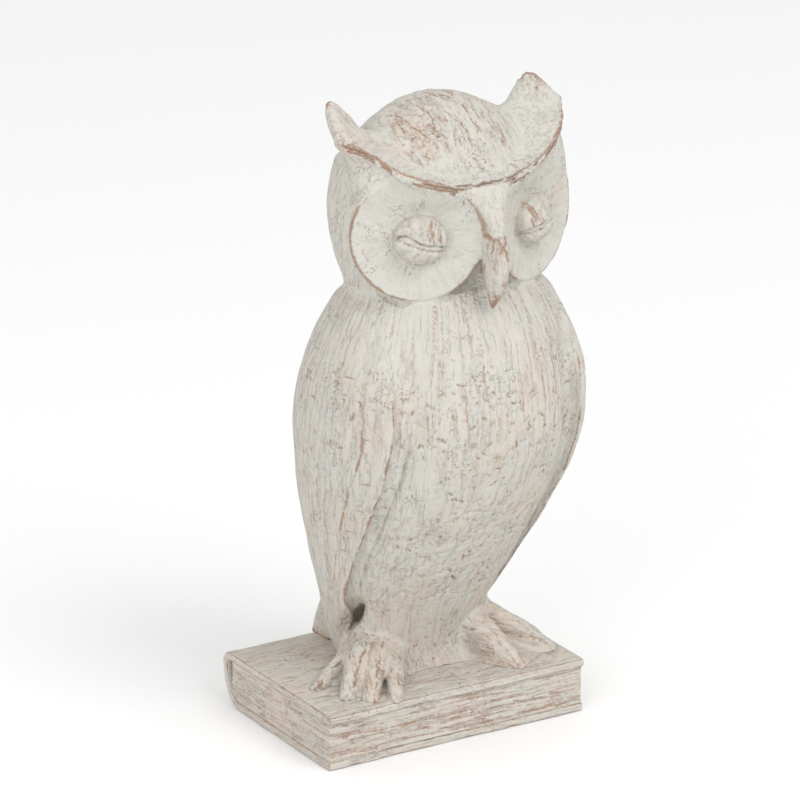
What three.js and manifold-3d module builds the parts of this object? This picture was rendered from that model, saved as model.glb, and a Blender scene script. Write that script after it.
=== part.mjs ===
// An owl figurine that stands on a closed book, carved in soft rounded forms.
// Units are millimetres. +Z is up, the owl faces -Y, and the origin is the middle of the book's underside.

import * as THREE from 'three';
import { mergeVertices } from 'three/addons/utils/BufferGeometryUtils.js';
import Module from 'manifold-3d';

// ---- Driving dimensions -------------------------------------------------------------------

const GAP = 0.3; // glue line between neighbouring pieces
const OWL_X = 5; // the owl stands this far to the right of the book's middle

const BOOK_LENGTH = 134;
const BOOK_DEPTH = 96;
const BOOK_HEIGHT = 26;
const BOARD_THICKNESS = 4.2;
const BOARD_OVERHANG = 1.8; // top board past the pages at the fore-edge
const SPINE_THICKNESS = 3.6;
const PAGE_RECESS = 0.6; // pages below the boards at head and tail
const BOARD_BACK = 30; // where the flat boards end and the spine begins
const SPINE_TOP_ROUND = 4; // radius of the spine's upper corner
const SPINE_BOTTOM_RUN = 13; // the spine's curve starts this far inwards at the bottom
const SPINE_BOTTOM_PULL = 5; // how hard the curve is drawn in at the bottom
const SPINE_HOLLOW_RUN = 11; // the same curve on the inside of the spine
const SPINE_HOLLOW_ROUND = 3;
const PAGE_BACK_GAP = 2.5; // hollow between the pages and the spine
const PAGE_BACK_RUN = 10;
const PAGE_BACK_PULL = 3;
const PAGE_BACK_ROUND = 2;

const STAND_Z = BOOK_HEIGHT + GAP; // everything of the owl stands on this level

// Sections of the torso from the feet up: height, half width, front and back.
const TORSO_POWER = 2.15;
const TORSO = [
  [STAND_Z, 35, -17, 22],
  [40, 34.5, -19, 22],
  [52, 37, -24, 24],
  [75, 45, -38, 28],
  [99, 52, -53.5, 31],
  [124, 57.5, -68, 32],
  [148, 60.5, -76, 31],
  [160, 60.5, -77, 28],
  [179, 58, -75, 23],
  [196, 52, -70.5, 17],
  [207, 47, -65, 11],
  [216, 41, -58, 6],
];

// The same rows for the outside of the folded wings.
const WING_POWER = 2.4;
const WING_OUTSIDE = [
  [24, 30, -10, 26],
  [33, 35, -16, 28],
  [40, 38, -19, 30],
  [52, 41.5, -24, 30],
  [75, 48.5, -38, 31.5],
  [99, 55.5, -53.5, 34],
  [124, 60.5, -68, 35.5],
  [148, 63.5, -77, 34.5],
  [160, 63.5, -78, 32],
  [179, 61, -76.5, 25],
  [196, 54.5, -72, 18],
  [210, 46, -64, 10],
  [218, 41, -58, 6],
];

// Outline of a wing seen from the side, as depth and height.
const WING_FRONT_EDGE = [
  [-44, 207],
  [-57, 196],
  [-63.5, 180],
  [-63.5, 161],
  [-57, 136],
  [-44, 112],
  [-27, 87],
  [-10, 61],
  [3, 42],
  [11, 31],
];
const WING_REAR_EDGE = [
  [19, 38],
  [29, 55],
  [40, 80],
  [50, 112],
];
const WING_TOP_EDGE = [
  [50, 201],
  [-20, 208],
];
const WING_REACH = 80; // the outline is cut through this far sideways

// Half width and height of the strip of back that the wings leave open.
const BACK_STRIP = [
  [22, 20],
  [7, 150],
  [5, 230],
];
const BACK_STRIP_FRONT = 5;
const BACK_STRIP_REAR = 75;

const DOME_CUT_Z = 266; // where the crown sits on the skull

// Sections of the skull behind the face: height, half width, front and back.
const SKULL_POWER = 2.3;
const SKULL = [
  [209, 41, -55, 8],
  [216, 43.5, -54, 12],
  [226, 46, -53, 16],
  [240, 47.2, -51, 19.5],
  [253, 46.3, -50, 20],
  [DOME_CUT_Z - GAP, 43.5, -49, 17.5],
];

const DOME_CENTRE = new THREE.Vector3(0, -19, 245);
const DOME_RADII = new THREE.Vector3(47.5, 40, 50.5);

// The brow ridge from the middle of the forehead to one ear: side, depth and height of its edge.
const BROW_EDGE = [
  [0, -61, 266],
  [20, -58.5, 267.5],
  [38, -53, 274],
  [48.5, -46, 281.5],
  [53.5, -38, 285],
];

// The ridge's section: six corners and a middle, each inwards and up from the edge.
const BROW_CORNERS = [
  [15, 9],
  [6, 1.6],
  [0.4, 0.6],
  [0, -2.6],
  [6, -7],
  [15, -7],
];
const BROW_MIDDLE = [6, -2];
const BROW_CORNER_GROWTH = 1.3; // corners move this much further than the sides between them
const BROW_LIP = 3; // the face ends this far below the ridge's edge

const TUFT_HEIGHT = 30;
const TUFT_BREADTH = 13.5;
const TUFT_THICKNESS = 5.2;
const TUFT_BREADTH_TAPER = 0.42; // share of the breadth lost at the tip
const TUFT_THICKNESS_TAPER = 0.35;
const TUFT_PLACE = new THREE.Vector3(44.5, -33, 275);
const TUFT_YAW = 0.75;
const TUFT_PITCH = -0.6;
const TUFT_LEAN = 0.25;

const DISC_CENTRE = new THREE.Vector3(29.5, -52, 244.6);
const DISC_RADIUS = 29;
const DISC_DISH = 2.2;
const DISC_BACK = 20; // each disc tapers back into the skull like a shallow cone
// Share of the radius and depth, from the dished face round the rim to the back.
const DISC_FACE = [
  [0, DISC_DISH],
  [0.45, DISC_DISH],
  [0.75, DISC_DISH * 0.75],
  [0.94, -0.2],
];
const DISC_RIM = [
  [1, 0.8],
  [0.985, 3.5],
  [0.84, 12],
];
const DISC_REAR = [
  [0.5, DISC_BACK],
  [0, DISC_BACK],
];
const DISC_TURN = THREE.MathUtils.degToRad(25); // each disc looks this far outwards

const EYE_RADII = new THREE.Vector3(11, 7.5, 11);
const EYE_PROUD = 1; // the bulge's middle stands this far in front of the disc's rim
const EYE_BACK = 1.2; // the lids end this far behind it
const EYE_SLIT_TILT = THREE.MathUtils.degToRad(14);
const EYE_SLIT_DROP = 0.5;
const EYE_SLIT = 0.5;

// Sections of the nasal bridge and the beak: height, half width, front and back.
const BRIDGE_POWER = 2.2;
const BRIDGE = [
  [245.3, 3.6, -74, -58],
  [250, 4.6, -72, -57],
  [256, 7, -69, -55],
  [263, 12, -65, -50],
];
const BEAK_POWER = 2;
const BEAK = [
  [210.8, 0.5, -70, -68],
  [214, 1.9, -72.3, -67],
  [221, 3.6, -76.3, -64.5],
  [230, 4.5, -78.8, -62],
  [238, 4.6, -78.3, -60],
  [245, 3.7, -75, -59],
];

// The tail: height, half width, front and back.
const TAIL_POWER = 7;
const TAIL = [
  [STAND_Z, 27, 30, 47],
  [34, 26, 28, 46],
  [50, 22, 24, 42.5],
  [75, 17, 20, 40],
  [105, 10, 18, 38],
];

// Toes of one foot: the tip on the book, the root, the girth there and how far the toe arches up.
// Side is measured from the owl's middle line outwards.
const LEFT_TOES = [
  { name: 'left_toe_outer', tip: [59, -15], root: [35, -5, 37], girth: 5, arch: 3 },
  { name: 'left_toe_second', tip: [54.5, -29.5], root: [28, -8, 44], girth: 6.6, arch: 5.5 },
  { name: 'left_toe_third', tip: [47, -34], root: [25, -11, 41], girth: 6.2, arch: 5.5 },
  { name: 'left_toe_inner', tip: [37.5, -42.5], root: [21, -15, 36.5], girth: 5.6, arch: 5 },
];
const RIGHT_TOES = [
  { name: 'right_toe_outer', tip: [58, -10], root: [31, -2, 37], girth: 5.4, arch: 2 },
  { name: 'right_toe_middle', tip: [54, -29.5], root: [28, -6, 43], girth: 6, arch: 0.5 },
  { name: 'right_toe_inner', tip: [30.5, -38], root: [20, -11, 41], girth: 6.8, arch: 3 },
];
const TOE_TIP_RISE = 2;
const TOE_TAPER = 0.62; // share of the girth lost at the tip
const TOE_TAPER_POWER = 2.2;
const TOE_TALL = 1.25; // height over width near the root
const TOE_TALL_TIP = 1.1;
const FOOT_RADII = new THREE.Vector3(15, 16, 19);
const FOOT_PLACE = new THREE.Vector3(28, -9, 30);

const FAR = 200; // past the whole object in any direction

const WHITEWASH = { color: 0xd9d3c8, roughness: 0.85, metalness: 0 };
const BARE_EDGE = { color: 0xb79a86, roughness: 0.85, metalness: 0 };
const PAPER = { color: 0xd2c8ba, roughness: 0.9, metalness: 0 };

// ---- Solids -------------------------------------------------------------------------------

const wasm = await Module();
wasm.setup();

function solidFrom(geometry) {
  const bare = geometry.index ? geometry.clone() : geometry;
  bare.deleteAttribute('normal');
  bare.deleteAttribute('uv');
  const merged = mergeVertices(bare, 1e-4);
  const mesh = new wasm.Mesh({
    numProp: 3,
    vertProperties: new Float32Array(merged.attributes.position.array),
    triVerts: new Uint32Array(merged.index.array),
  });
  return new wasm.Manifold(mesh);
}

function geometryFrom(solid) {
  const mesh = solid.getMesh();
  const geometry = new THREE.BufferGeometry();
  geometry.setAttribute('position', new THREE.BufferAttribute(mesh.vertProperties, 3));
  geometry.setIndex(new THREE.BufferAttribute(mesh.triVerts, 1));
  geometry.computeVertexNormals();
  return geometry;
}

function cut(solid, ...tools) {
  return tools.reduce((rest, tool) => rest.subtract(tool), solid);
}

// ---- Shape helpers ------------------------------------------------------------------------

// A smooth curve through rows whose first number is the place along it.
function smoothRows(rows) {
  const places = Float64Array.from(rows, (row) => row[0]);
  const width = rows[0].length - 1;
  const values = Float64Array.from(rows.flatMap((row) => row.slice(1)));
  const curve = new THREE.CubicInterpolant(places, values, width, new Float64Array(width));
  return (place) => [...curve.evaluate(place)];
}

// Raises the size of a value to a power and keeps its sign; what is nearly zero becomes zero.
function signedPower(value, power) {
  const size = Math.abs(value);
  return size < 1e-6 ? 0 : Math.sign(value) * size ** power;
}

// An upright cylinder whose every level becomes a rounded section of its own.
function stackedSections(rows, { power, around, levels, grow = 0 }) {
  const section = smoothRows(rows);
  const low = rows[0][0];
  const high = rows[rows.length - 1][0];
  const geometry = new THREE.CylinderGeometry(1, 1, 1, around, levels).rotateX(Math.PI / 2);
  const position = geometry.attributes.position;
  for (let i = 0; i < position.count; i += 1) {
    const along = position.getZ(i) + 0.5;
    const place = low + along * (high - low);
    const [halfWidth, front, back] = section(place);
    const lift = (2 * along - 1) * grow;
    const x = signedPower(position.getX(i), 2 / power) * (halfWidth + grow);
    const y = signedPower(position.getY(i), 2 / power) * ((back - front) / 2 + grow);
    position.setXYZ(i, x, y + (front + back) / 2, place + lift);
  }
  return geometry;
}

function ellipsoid(centre, radii, grow, around, levels) {
  const geometry = new THREE.SphereGeometry(1, around, levels).rotateX(Math.PI / 2);
  geometry.scale(radii.x + grow, radii.y + grow, radii.z + grow);
  return geometry.translate(centre.x, centre.y, centre.z);
}

function box(low, high) {
  const size = new THREE.Vector3().subVectors(high, low);
  const middle = new THREE.Vector3().addVectors(low, high).multiplyScalar(0.5);
  return new THREE.BoxGeometry(size.x, size.y, size.z).translate(middle.x, middle.y, middle.z);
}

// Turns an outline drawn in depth and height, extruded along its third axis, so it runs along X.
function alongX(geometry) {
  const depth = new THREE.Vector3(0, 1, 0);
  const height = new THREE.Vector3(0, 0, 1);
  const side = new THREE.Vector3(1, 0, 0);
  return geometry.applyMatrix4(new THREE.Matrix4().makeBasis(depth, height, side));
}

function mirrored(geometry) {
  const copy = geometry.clone().scale(-1, 1, 1);
  const index = copy.index;
  for (let i = 0; i < index.count; i += 3) {
    const first = index.getX(i);
    index.setX(i, index.getX(i + 1));
    index.setX(i + 1, first);
  }
  return copy;
}

// ---- Book ---------------------------------------------------------------------------------

// Extrudes an outline drawn in depth and height to the given length, centred on the middle.
function bookSlab(outline, length) {
  const options = { depth: length, bevelEnabled: false, curveSegments: 8 };
  const slab = new THREE.ExtrudeGeometry(outline, options).translate(0, 0, -length / 2);
  return solidFrom(alongX(slab));
}

function board(front, low, high) {
  const outline = new THREE.Shape();
  outline.moveTo(front, low);
  outline.lineTo(BOARD_BACK, low);
  outline.lineTo(BOARD_BACK, high);
  outline.lineTo(front, high);
  outline.closePath();
  return bookSlab(outline, BOOK_LENGTH);
}

function topBoard() {
  return board(-BOOK_DEPTH / 2, BOOK_HEIGHT - BOARD_THICKNESS, BOOK_HEIGHT);
}

function bottomBoard() {
  return board(-BOOK_DEPTH / 2 + BOARD_OVERHANG / 2, 0, BOARD_THICKNESS);
}

// The spine joins the boards: square at the top, and drawn in with a long curve at the bottom.
function spine() {
  const start = BOARD_BACK + GAP;
  const back = BOOK_DEPTH / 2;
  const inner = back - SPINE_THICKNESS;
  const top = BOOK_HEIGHT;
  const under = top - BOARD_THICKNESS;
  const middle = top * 0.4;
  const outline = new THREE.Shape();
  outline.moveTo(start, 0);
  outline.lineTo(back - SPINE_BOTTOM_RUN, 0);
  outline.bezierCurveTo(back - SPINE_BOTTOM_PULL, 0, back, middle, back, top - SPINE_TOP_ROUND);
  outline.quadraticCurveTo(back, top, back - SPINE_TOP_ROUND, top);
  outline.lineTo(start, top);
  outline.lineTo(start, under);
  outline.lineTo(inner - SPINE_HOLLOW_ROUND, under);
  outline.quadraticCurveTo(inner, under, inner, under - SPINE_HOLLOW_ROUND);
  const pulled = inner - SPINE_HOLLOW_ROUND;
  const run = inner - SPINE_HOLLOW_RUN;
  outline.bezierCurveTo(inner, middle, pulled, BOARD_THICKNESS, run, BOARD_THICKNESS);
  outline.lineTo(start, BOARD_THICKNESS);
  outline.closePath();
  return bookSlab(outline, BOOK_LENGTH);
}

function pageBlock() {
  const fore = -BOOK_DEPTH / 2 + BOARD_OVERHANG;
  const back = BOOK_DEPTH / 2 - SPINE_THICKNESS - PAGE_BACK_GAP;
  const low = BOARD_THICKNESS + GAP;
  const high = BOOK_HEIGHT - BOARD_THICKNESS - GAP;
  const outline = new THREE.Shape();
  outline.moveTo(fore, low);
  outline.lineTo(back - PAGE_BACK_RUN, low);
  const round = high - PAGE_BACK_ROUND;
  outline.bezierCurveTo(back - PAGE_BACK_PULL, low, back, (low + high) / 2, back, round);
  outline.quadraticCurveTo(back, high, back - PAGE_BACK_ROUND, high);
  outline.lineTo(fore, high);
  outline.closePath();
  return bookSlab(outline, BOOK_LENGTH - 2 * PAGE_RECESS);
}

// ---- Body ---------------------------------------------------------------------------------

function torso(grow = 0) {
  return solidFrom(stackedSections(TORSO, { power: TORSO_POWER, around: 32, levels: 15, grow }));
}

function wingOutline() {
  const rows = [...WING_FRONT_EDGE, ...WING_REAR_EDGE];
  const edge = rows.map(([depth, height]) => new THREE.Vector2(depth, height));
  const outline = new THREE.Shape();
  outline.moveTo(edge[0].x, edge[0].y);
  outline.splineThru(edge.slice(1));
  for (const [depth, height] of WING_TOP_EDGE) {
    outline.lineTo(depth, height);
  }
  outline.closePath();
  return outline;
}

// The strip down the back that the two wings leave open.
function backStrip() {
  const right = BACK_STRIP.map(([side, height]) => new THREE.Vector2(side, height));
  const left = BACK_STRIP.map(([side, height]) => new THREE.Vector2(-side, height)).reverse();
  const depth = BACK_STRIP_REAR - BACK_STRIP_FRONT;
  const options = { depth, bevelEnabled: false };
  const slab = new THREE.ExtrudeGeometry(new THREE.Shape([...right, ...left]), options);
  return solidFrom(slab.rotateX(Math.PI / 2).translate(0, BACK_STRIP_REAR, 0));
}

function wing() {
  const sections = stackedSections(WING_OUTSIDE, { power: WING_POWER, around: 32, levels: 16 });
  const options = { depth: WING_REACH, bevelEnabled: false, curveSegments: 20 };
  const side = solidFrom(alongX(new THREE.ExtrudeGeometry(wingOutline(), options)));
  return solidFrom(sections).intersect(side);
}

function tail(grow = 0) {
  return solidFrom(stackedSections(TAIL, { power: TAIL_POWER, around: 16, levels: 6, grow }));
}

// ---- Head ---------------------------------------------------------------------------------

function skull() {
  return solidFrom(stackedSections(SKULL, { power: SKULL_POWER, around: 32, levels: 7 }));
}

function dome(grow = 0) {
  const whole = solidFrom(ellipsoid(DOME_CENTRE, DOME_RADII, grow, 32, 22));
  const low = new THREE.Vector3(-FAR, -FAR, 0);
  const high = new THREE.Vector3(FAR, FAR, DOME_CUT_Z - grow);
  return cut(whole, solidFrom(box(low, high)));
}

// A crescent flange in front of the dome, swept from ear to ear.
function browRidge(grow = 0) {
  const right = BROW_EDGE.map(([side, depth, height]) => new THREE.Vector3(side, depth, height));
  const left = right.slice(1).map((point) => new THREE.Vector3(-point.x, point.y, point.z));
  const edge = new THREE.CatmullRomCurve3([...left.reverse(), ...right]);
  const geometry = new THREE.CylinderGeometry(1, 1, 1, BROW_CORNERS.length, 20);
  const position = geometry.attributes.position;
  const heart = new THREE.Vector3(0, DOME_CENTRE.y, 0);
  for (let i = 0; i < position.count; i += 1) {
    const rim = edge.getPoint(position.getY(i) + 0.5);
    const isMiddle = Math.hypot(position.getX(i), position.getZ(i)) < 0.5;
    const angle = Math.atan2(position.getX(i), position.getZ(i));
    const inward = new THREE.Vector3().subVectors(heart, rim).setZ(0).normalize();
    const [inset, rise] = isMiddle ? BROW_MIDDLE : grownCorner(browCorner(angle), grow);
    position.setXYZ(i, rim.x + inward.x * inset, rim.y + inward.y * inset, rim.z + rise);
  }
  return solidFrom(geometry);
}

function grownCorner([inset, rise], grow) {
  const [middleInset, middleRise] = BROW_MIDDLE;
  const away = new THREE.Vector2(inset - middleInset, rise - middleRise);
  away.setLength(away.length() + grow * BROW_CORNER_GROWTH);
  return [middleInset + away.x, middleRise + away.y];
}

function browCorner(angle) {
  const turn = (angle + 2 * Math.PI) / (2 * Math.PI);
  return BROW_CORNERS[Math.round(turn * BROW_CORNERS.length) % BROW_CORNERS.length];
}

function earTuft(grow = 0) {
  const shape = new THREE.SphereGeometry(1, 14, 12).rotateX(Math.PI / 2);
  const position = shape.attributes.position;
  for (let i = 0; i < position.count; i += 1) {
    const rise = (position.getZ(i) + 1) / 2;
    const breadth = TUFT_BREADTH * (1 - TUFT_BREADTH_TAPER * rise ** 1.6) + grow;
    const thickness = TUFT_THICKNESS * (1 - TUFT_THICKNESS_TAPER * rise) + grow;
    const x = position.getX(i) * thickness;
    const y = position.getY(i) * breadth;
    position.setXYZ(i, x, y, rise * TUFT_HEIGHT + (2 * rise - 1) * grow);
  }
  shape.rotateZ(TUFT_YAW).rotateX(TUFT_PITCH).rotateY(TUFT_LEAN);
  return solidFrom(shape.translate(TUFT_PLACE.x, TUFT_PLACE.y, TUFT_PLACE.z));
}

function placeOnDisc(geometry) {
  return geometry.rotateZ(DISC_TURN).translate(DISC_CENTRE.x, DISC_CENTRE.y, DISC_CENTRE.z);
}

function faceDisc(grow = 0) {
  const radius = DISC_RADIUS + grow;
  const profile = [
    ...DISC_FACE.map(([share, depth]) => new THREE.Vector2(share * radius, depth - grow)),
    ...DISC_RIM.map(([share, depth]) => new THREE.Vector2(share * radius, depth)),
    ...DISC_REAR.map(([share, depth]) => new THREE.Vector2(share * radius, depth + grow)),
  ];
  return solidFrom(placeOnDisc(new THREE.LatheGeometry(profile, 28)));
}

// Everything above the lower edge of the brow, where the face ends.
function aboveBrow() {
  const right = BROW_EDGE.map(([side, , height]) => new THREE.Vector2(side, height - BROW_LIP));
  const left = right.slice(1).map((point) => new THREE.Vector2(-point.x, point.y)).reverse();
  const outline = new THREE.Shape();
  outline.moveTo(-FAR / 2, 2 * FAR);
  for (const point of [...left, ...right]) {
    outline.lineTo(point.x, point.y);
  }
  outline.lineTo(FAR / 2, 2 * FAR);
  outline.closePath();
  const slab = new THREE.ExtrudeGeometry(outline, { depth: FAR, bevelEnabled: false });
  return solidFrom(slab.rotateX(Math.PI / 2).translate(0, FAR / 2, 0));
}

// One closed eyelid: the upper or the lower part of a bulge, parted along a tilted slit.
function eyelid(upper) {
  const bulge = ellipsoid(new THREE.Vector3(0, -EYE_PROUD, 0), EYE_RADII, 0, 16, 10);
  const span = 2 * EYE_RADII.x;
  const half = EYE_SLIT / 2;
  const low = new THREE.Vector3(-span, -span, upper ? -span : -half);
  const high = new THREE.Vector3(span, span, upper ? half : span);
  const other = box(low, high).rotateY(-EYE_SLIT_TILT).translate(0, 0, -EYE_SLIT_DROP);
  const rearLow = new THREE.Vector3(-span, EYE_BACK, -span);
  const rear = box(rearLow, new THREE.Vector3(span, span, span));
  const tools = [other, rear].map((geometry) => solidFrom(placeOnDisc(geometry)));
  return cut(solidFrom(placeOnDisc(bulge)), ...tools);
}

function nasalBridge(grow = 0) {
  return solidFrom(stackedSections(BRIDGE, { power: BRIDGE_POWER, around: 12, levels: 5, grow }));
}

function beak(grow = 0) {
  return solidFrom(stackedSections(BEAK, { power: BEAK_POWER, around: 12, levels: 8, grow }));
}

// ---- Feet ---------------------------------------------------------------------------------

function foot(grow = 0) {
  const block = ellipsoid(FOOT_PLACE, FOOT_RADII, grow, 16, 10);
  const below = box(new THREE.Vector3(-FAR, -FAR, -FAR), new THREE.Vector3(FAR, FAR, STAND_Z));
  return cut(solidFrom(block), solidFrom(below));
}

// A toe arches from the foot down to the book, and flattens where it rests on it.
function toe({ tip, root, girth, arch }, grow = 0) {
  const start = new THREE.Vector3(...root);
  const end = new THREE.Vector3(tip[0], tip[1], STAND_Z + TOE_TIP_RISE);
  const knuckle = new THREE.Vector3().lerpVectors(start, end, 0.5);
  knuckle.z += arch;
  const path = new THREE.QuadraticBezierCurve3(start, knuckle, end);
  const heading = new THREE.Vector3().subVectors(end, start).setZ(0).normalize();
  const side = new THREE.Vector3(-heading.y, heading.x, 0);
  const geometry = new THREE.CylinderGeometry(1, 1, 1, 8, 7).rotateX(Math.PI / 2);
  const position = geometry.attributes.position;
  for (let i = 0; i < position.count; i += 1) {
    const along = position.getZ(i) + 0.5;
    const centre = path.getPoint(along);
    const width = girth * (1 - TOE_TAPER * along ** TOE_TAPER_POWER) + grow;
    const tall = along < 0.5 ? TOE_TALL : TOE_TALL_TIP;
    const sideways = position.getX(i) * width;
    const upright = position.getY(i) * width * tall;
    const forwards = (2 * along - 1) * grow;
    const x = centre.x + side.x * sideways + heading.x * forwards;
    const y = centre.y + side.y * sideways + heading.y * forwards;
    position.setXYZ(i, x, y, Math.max(centre.z + upright, STAND_Z));
  }
  return geometry;
}

// ---- Assembly -----------------------------------------------------------------------------

const owl = new THREE.Group();
const figurine = new THREE.Group();

function addPiece(group, name, solid, look) {
  const mesh = new THREE.Mesh(geometryFrom(solid), new THREE.MeshStandardMaterial(look));
  mesh.name = name;
  group.add(mesh);
}

function flip(solid) {
  return solidFrom(mirrored(geometryFrom(solid)));
}

// Adds a piece on the owl's +X side and its mirror image, each cut clear of the given tools.
function addPair(name, solid, look, ...tools) {
  addPiece(owl, `right_${name}`, cut(solid, ...tools), look);
  addPiece(owl, `left_${name}`, cut(flip(solid), ...tools), look);
}

function addBook() {
  addPiece(figurine, 'bottom_board', bottomBoard(), WHITEWASH);
  addPiece(figurine, 'top_board', topBoard(), WHITEWASH);
  addPiece(figurine, 'spine', spine(), WHITEWASH);
  addPiece(figurine, 'page_block', pageBlock(), PAPER);
}

function addBody() {
  addPiece(owl, 'torso', torso(), WHITEWASH);
  addPiece(owl, 'tail', cut(tail(), torso(GAP)), WHITEWASH);
  addPair('wing', wing(), WHITEWASH, torso(GAP), backStrip(), tail(GAP));
}

function addHead() {
  const clearBridge = nasalBridge(GAP);
  const clearBeak = beak(GAP);
  const clearDisc = faceDisc(GAP);
  const clearDiscs = clearDisc.add(flip(clearDisc));
  const clearRidge = browRidge(GAP);
  const clearDome = dome(GAP);
  const clearTuft = earTuft(GAP);
  addPiece(owl, 'crown', dome(), WHITEWASH);
  addPiece(owl, 'brow_ridge', cut(browRidge(), clearDome, clearBridge), WHITEWASH);
  addPair('ear_tuft', earTuft(), WHITEWASH, clearDome, clearRidge);
  const nearDisc = [clearBridge, clearBeak, clearRidge, clearDome, aboveBrow(), torso(GAP)];
  addPair('face_disc', faceDisc(), WHITEWASH, ...nearDisc);
  addPair('upper_eyelid', eyelid(true), WHITEWASH, clearDiscs);
  addPair('lower_eyelid', eyelid(false), WHITEWASH, clearDiscs);
  addPiece(owl, 'nasal_bridge', nasalBridge(), WHITEWASH);
  addPiece(owl, 'beak', beak(), BARE_EDGE);
  const above = [clearDome, clearRidge, clearTuft, flip(clearTuft)];
  const before = [clearDiscs, clearBridge, clearBeak];
  addPiece(owl, 'skull', cut(skull(), ...above, ...before, torso(GAP)), WHITEWASH);
}

function addFoot(side, toes) {
  const turn = (solid) => (side === 'left' ? flip(solid) : solid);
  let taken = torso(GAP).add(foot(GAP));
  addPiece(owl, `${side}_foot`, turn(cut(foot(), torso(GAP))), WHITEWASH);
  for (const row of toes) {
    addPiece(owl, row.name, turn(cut(solidFrom(toe(row)), taken)), BARE_EDGE);
    taken = taken.add(solidFrom(toe(row, GAP)));
  }
}

addBook();
addBody();
addHead();
addFoot('left', LEFT_TOES);
addFoot('right', RIGHT_TOES);
owl.position.x = OWL_X;
figurine.add(owl);

export default figurine;
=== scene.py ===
# The looks of the owl figurine: one carved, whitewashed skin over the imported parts.

import math

import bpy
import numpy as np
import openvdb as vdb
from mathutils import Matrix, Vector


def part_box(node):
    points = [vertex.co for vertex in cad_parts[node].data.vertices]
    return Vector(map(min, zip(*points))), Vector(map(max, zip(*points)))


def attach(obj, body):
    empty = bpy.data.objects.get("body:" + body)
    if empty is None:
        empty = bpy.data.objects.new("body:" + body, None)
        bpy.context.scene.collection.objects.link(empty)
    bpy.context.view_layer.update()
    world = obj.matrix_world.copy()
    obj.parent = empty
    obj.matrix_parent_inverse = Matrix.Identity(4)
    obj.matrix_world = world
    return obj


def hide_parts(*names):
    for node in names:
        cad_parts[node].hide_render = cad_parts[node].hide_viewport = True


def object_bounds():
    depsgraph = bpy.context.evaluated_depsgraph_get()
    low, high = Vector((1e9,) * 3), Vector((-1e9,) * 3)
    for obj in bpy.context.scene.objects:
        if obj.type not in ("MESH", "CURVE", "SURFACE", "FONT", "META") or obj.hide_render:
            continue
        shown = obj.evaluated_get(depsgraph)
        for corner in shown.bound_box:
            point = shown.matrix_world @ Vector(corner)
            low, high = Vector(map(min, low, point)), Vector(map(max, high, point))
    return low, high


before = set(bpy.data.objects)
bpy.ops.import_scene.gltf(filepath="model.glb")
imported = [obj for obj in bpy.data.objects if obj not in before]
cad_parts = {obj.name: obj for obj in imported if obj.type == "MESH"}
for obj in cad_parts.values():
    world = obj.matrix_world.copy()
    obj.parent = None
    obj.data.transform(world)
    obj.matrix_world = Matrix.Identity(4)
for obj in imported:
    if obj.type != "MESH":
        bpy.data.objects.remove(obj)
cad_low, cad_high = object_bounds()

MM = 0.001
SIDES = ((-1, "left"), (1, "right"))
VOXEL = 0.75  # spacing of the sculpting grid

# ---- Where things are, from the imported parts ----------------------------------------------


def node_box(name):
    low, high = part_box(name)
    return np.array(low) / MM, np.array(high) / MM


TORSO_LOW, TORSO_HIGH = node_box("torso")
CROWN_LOW, CROWN_HIGH = node_box("crown")
BOARD_LOW, BOARD_HIGH = node_box("top_board")
OWL_X = (TORSO_LOW[0] + TORSO_HIGH[0]) / 2
BOOK_TOP = BOARD_HIGH[2]
SUNK = 0.4  # the owl's skin goes this far into the book's cover

# ---- The sculpting grid -------------------------------------------------------------------

GRID_LOW = np.array([-66.0, -84.0, BOOK_TOP - SUNK - 2 * VOXEL])
GRID_HIGH = np.array([66.0, 52.0, cad_high[2] / MM + 3])
COUNTS = np.ceil((GRID_HIGH - GRID_LOW) / VOXEL).astype(int)
AXES = [(GRID_LOW[i] + VOXEL * np.arange(COUNTS[i])).astype(np.float32) for i in range(3)]


class Block:
    """Part of the grid, with its coordinates ready to broadcast."""

    def __init__(self, low, high):
        self.window = []
        coords = []
        for axis in range(3):
            start = max(int((low[axis] - GRID_LOW[axis]) / VOXEL), 0)
            stop = min(int((high[axis] - GRID_LOW[axis]) / VOXEL) + 1, COUNTS[axis])
            self.window.append(slice(start, stop))
            coords.append(AXES[axis][start:stop])
        self.window = tuple(self.window)
        self.x = coords[0][:, None, None]
        self.y = coords[1][None, :, None]
        self.z = coords[2][None, None, :]
        self.shape = tuple(len(c) for c in coords)


def smooth_min(a, b, k):
    """The lower of two fields, blended where they are within k of each other."""
    h = np.clip(0.5 + 0.5 * (b - a) / k, 0, 1)
    return b + (a - b) * h - k * h * (1 - h)


def smooth_max(a, b, k):
    return -smooth_min(-a, -b, k)


def smoothstep(low, high, value):
    t = np.clip((value - low) / (high - low), 0, 1)
    return t * t * (3 - 2 * t)


def hermite(rows, places):
    """A smooth curve through rows whose first number is the place along it."""
    rows = np.array(rows, float)
    at, values = rows[:, 0], rows[:, 1:]
    step = np.diff(at)
    slope = np.diff(values, axis=0) / step[:, None]
    tangent = np.empty_like(values)
    before, after = step[:-1, None], step[1:, None]
    tangent[1:-1] = (slope[:-1] * after + slope[1:] * before) / (before + after)
    tangent[0], tangent[-1] = slope[0], slope[-1]
    spot = np.clip(np.asarray(places, float), at[0], at[-1])
    i = np.clip(np.searchsorted(at, spot) - 1, 0, len(step) - 1)
    t = ((spot - at[i]) / step[i])[..., None]
    wide = step[i][..., None]
    result = values[i] * (2 * t**3 - 3 * t**2 + 1) + values[i + 1] * (3 * t**2 - 2 * t**3)
    result += wide * (tangent[i] * (t**3 - 2 * t**2 + t) + tangent[i + 1] * (t**3 - t**2))
    return result


# ---- Rows of the carved forms, in the owl's own millimetres -------------------------------

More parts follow.
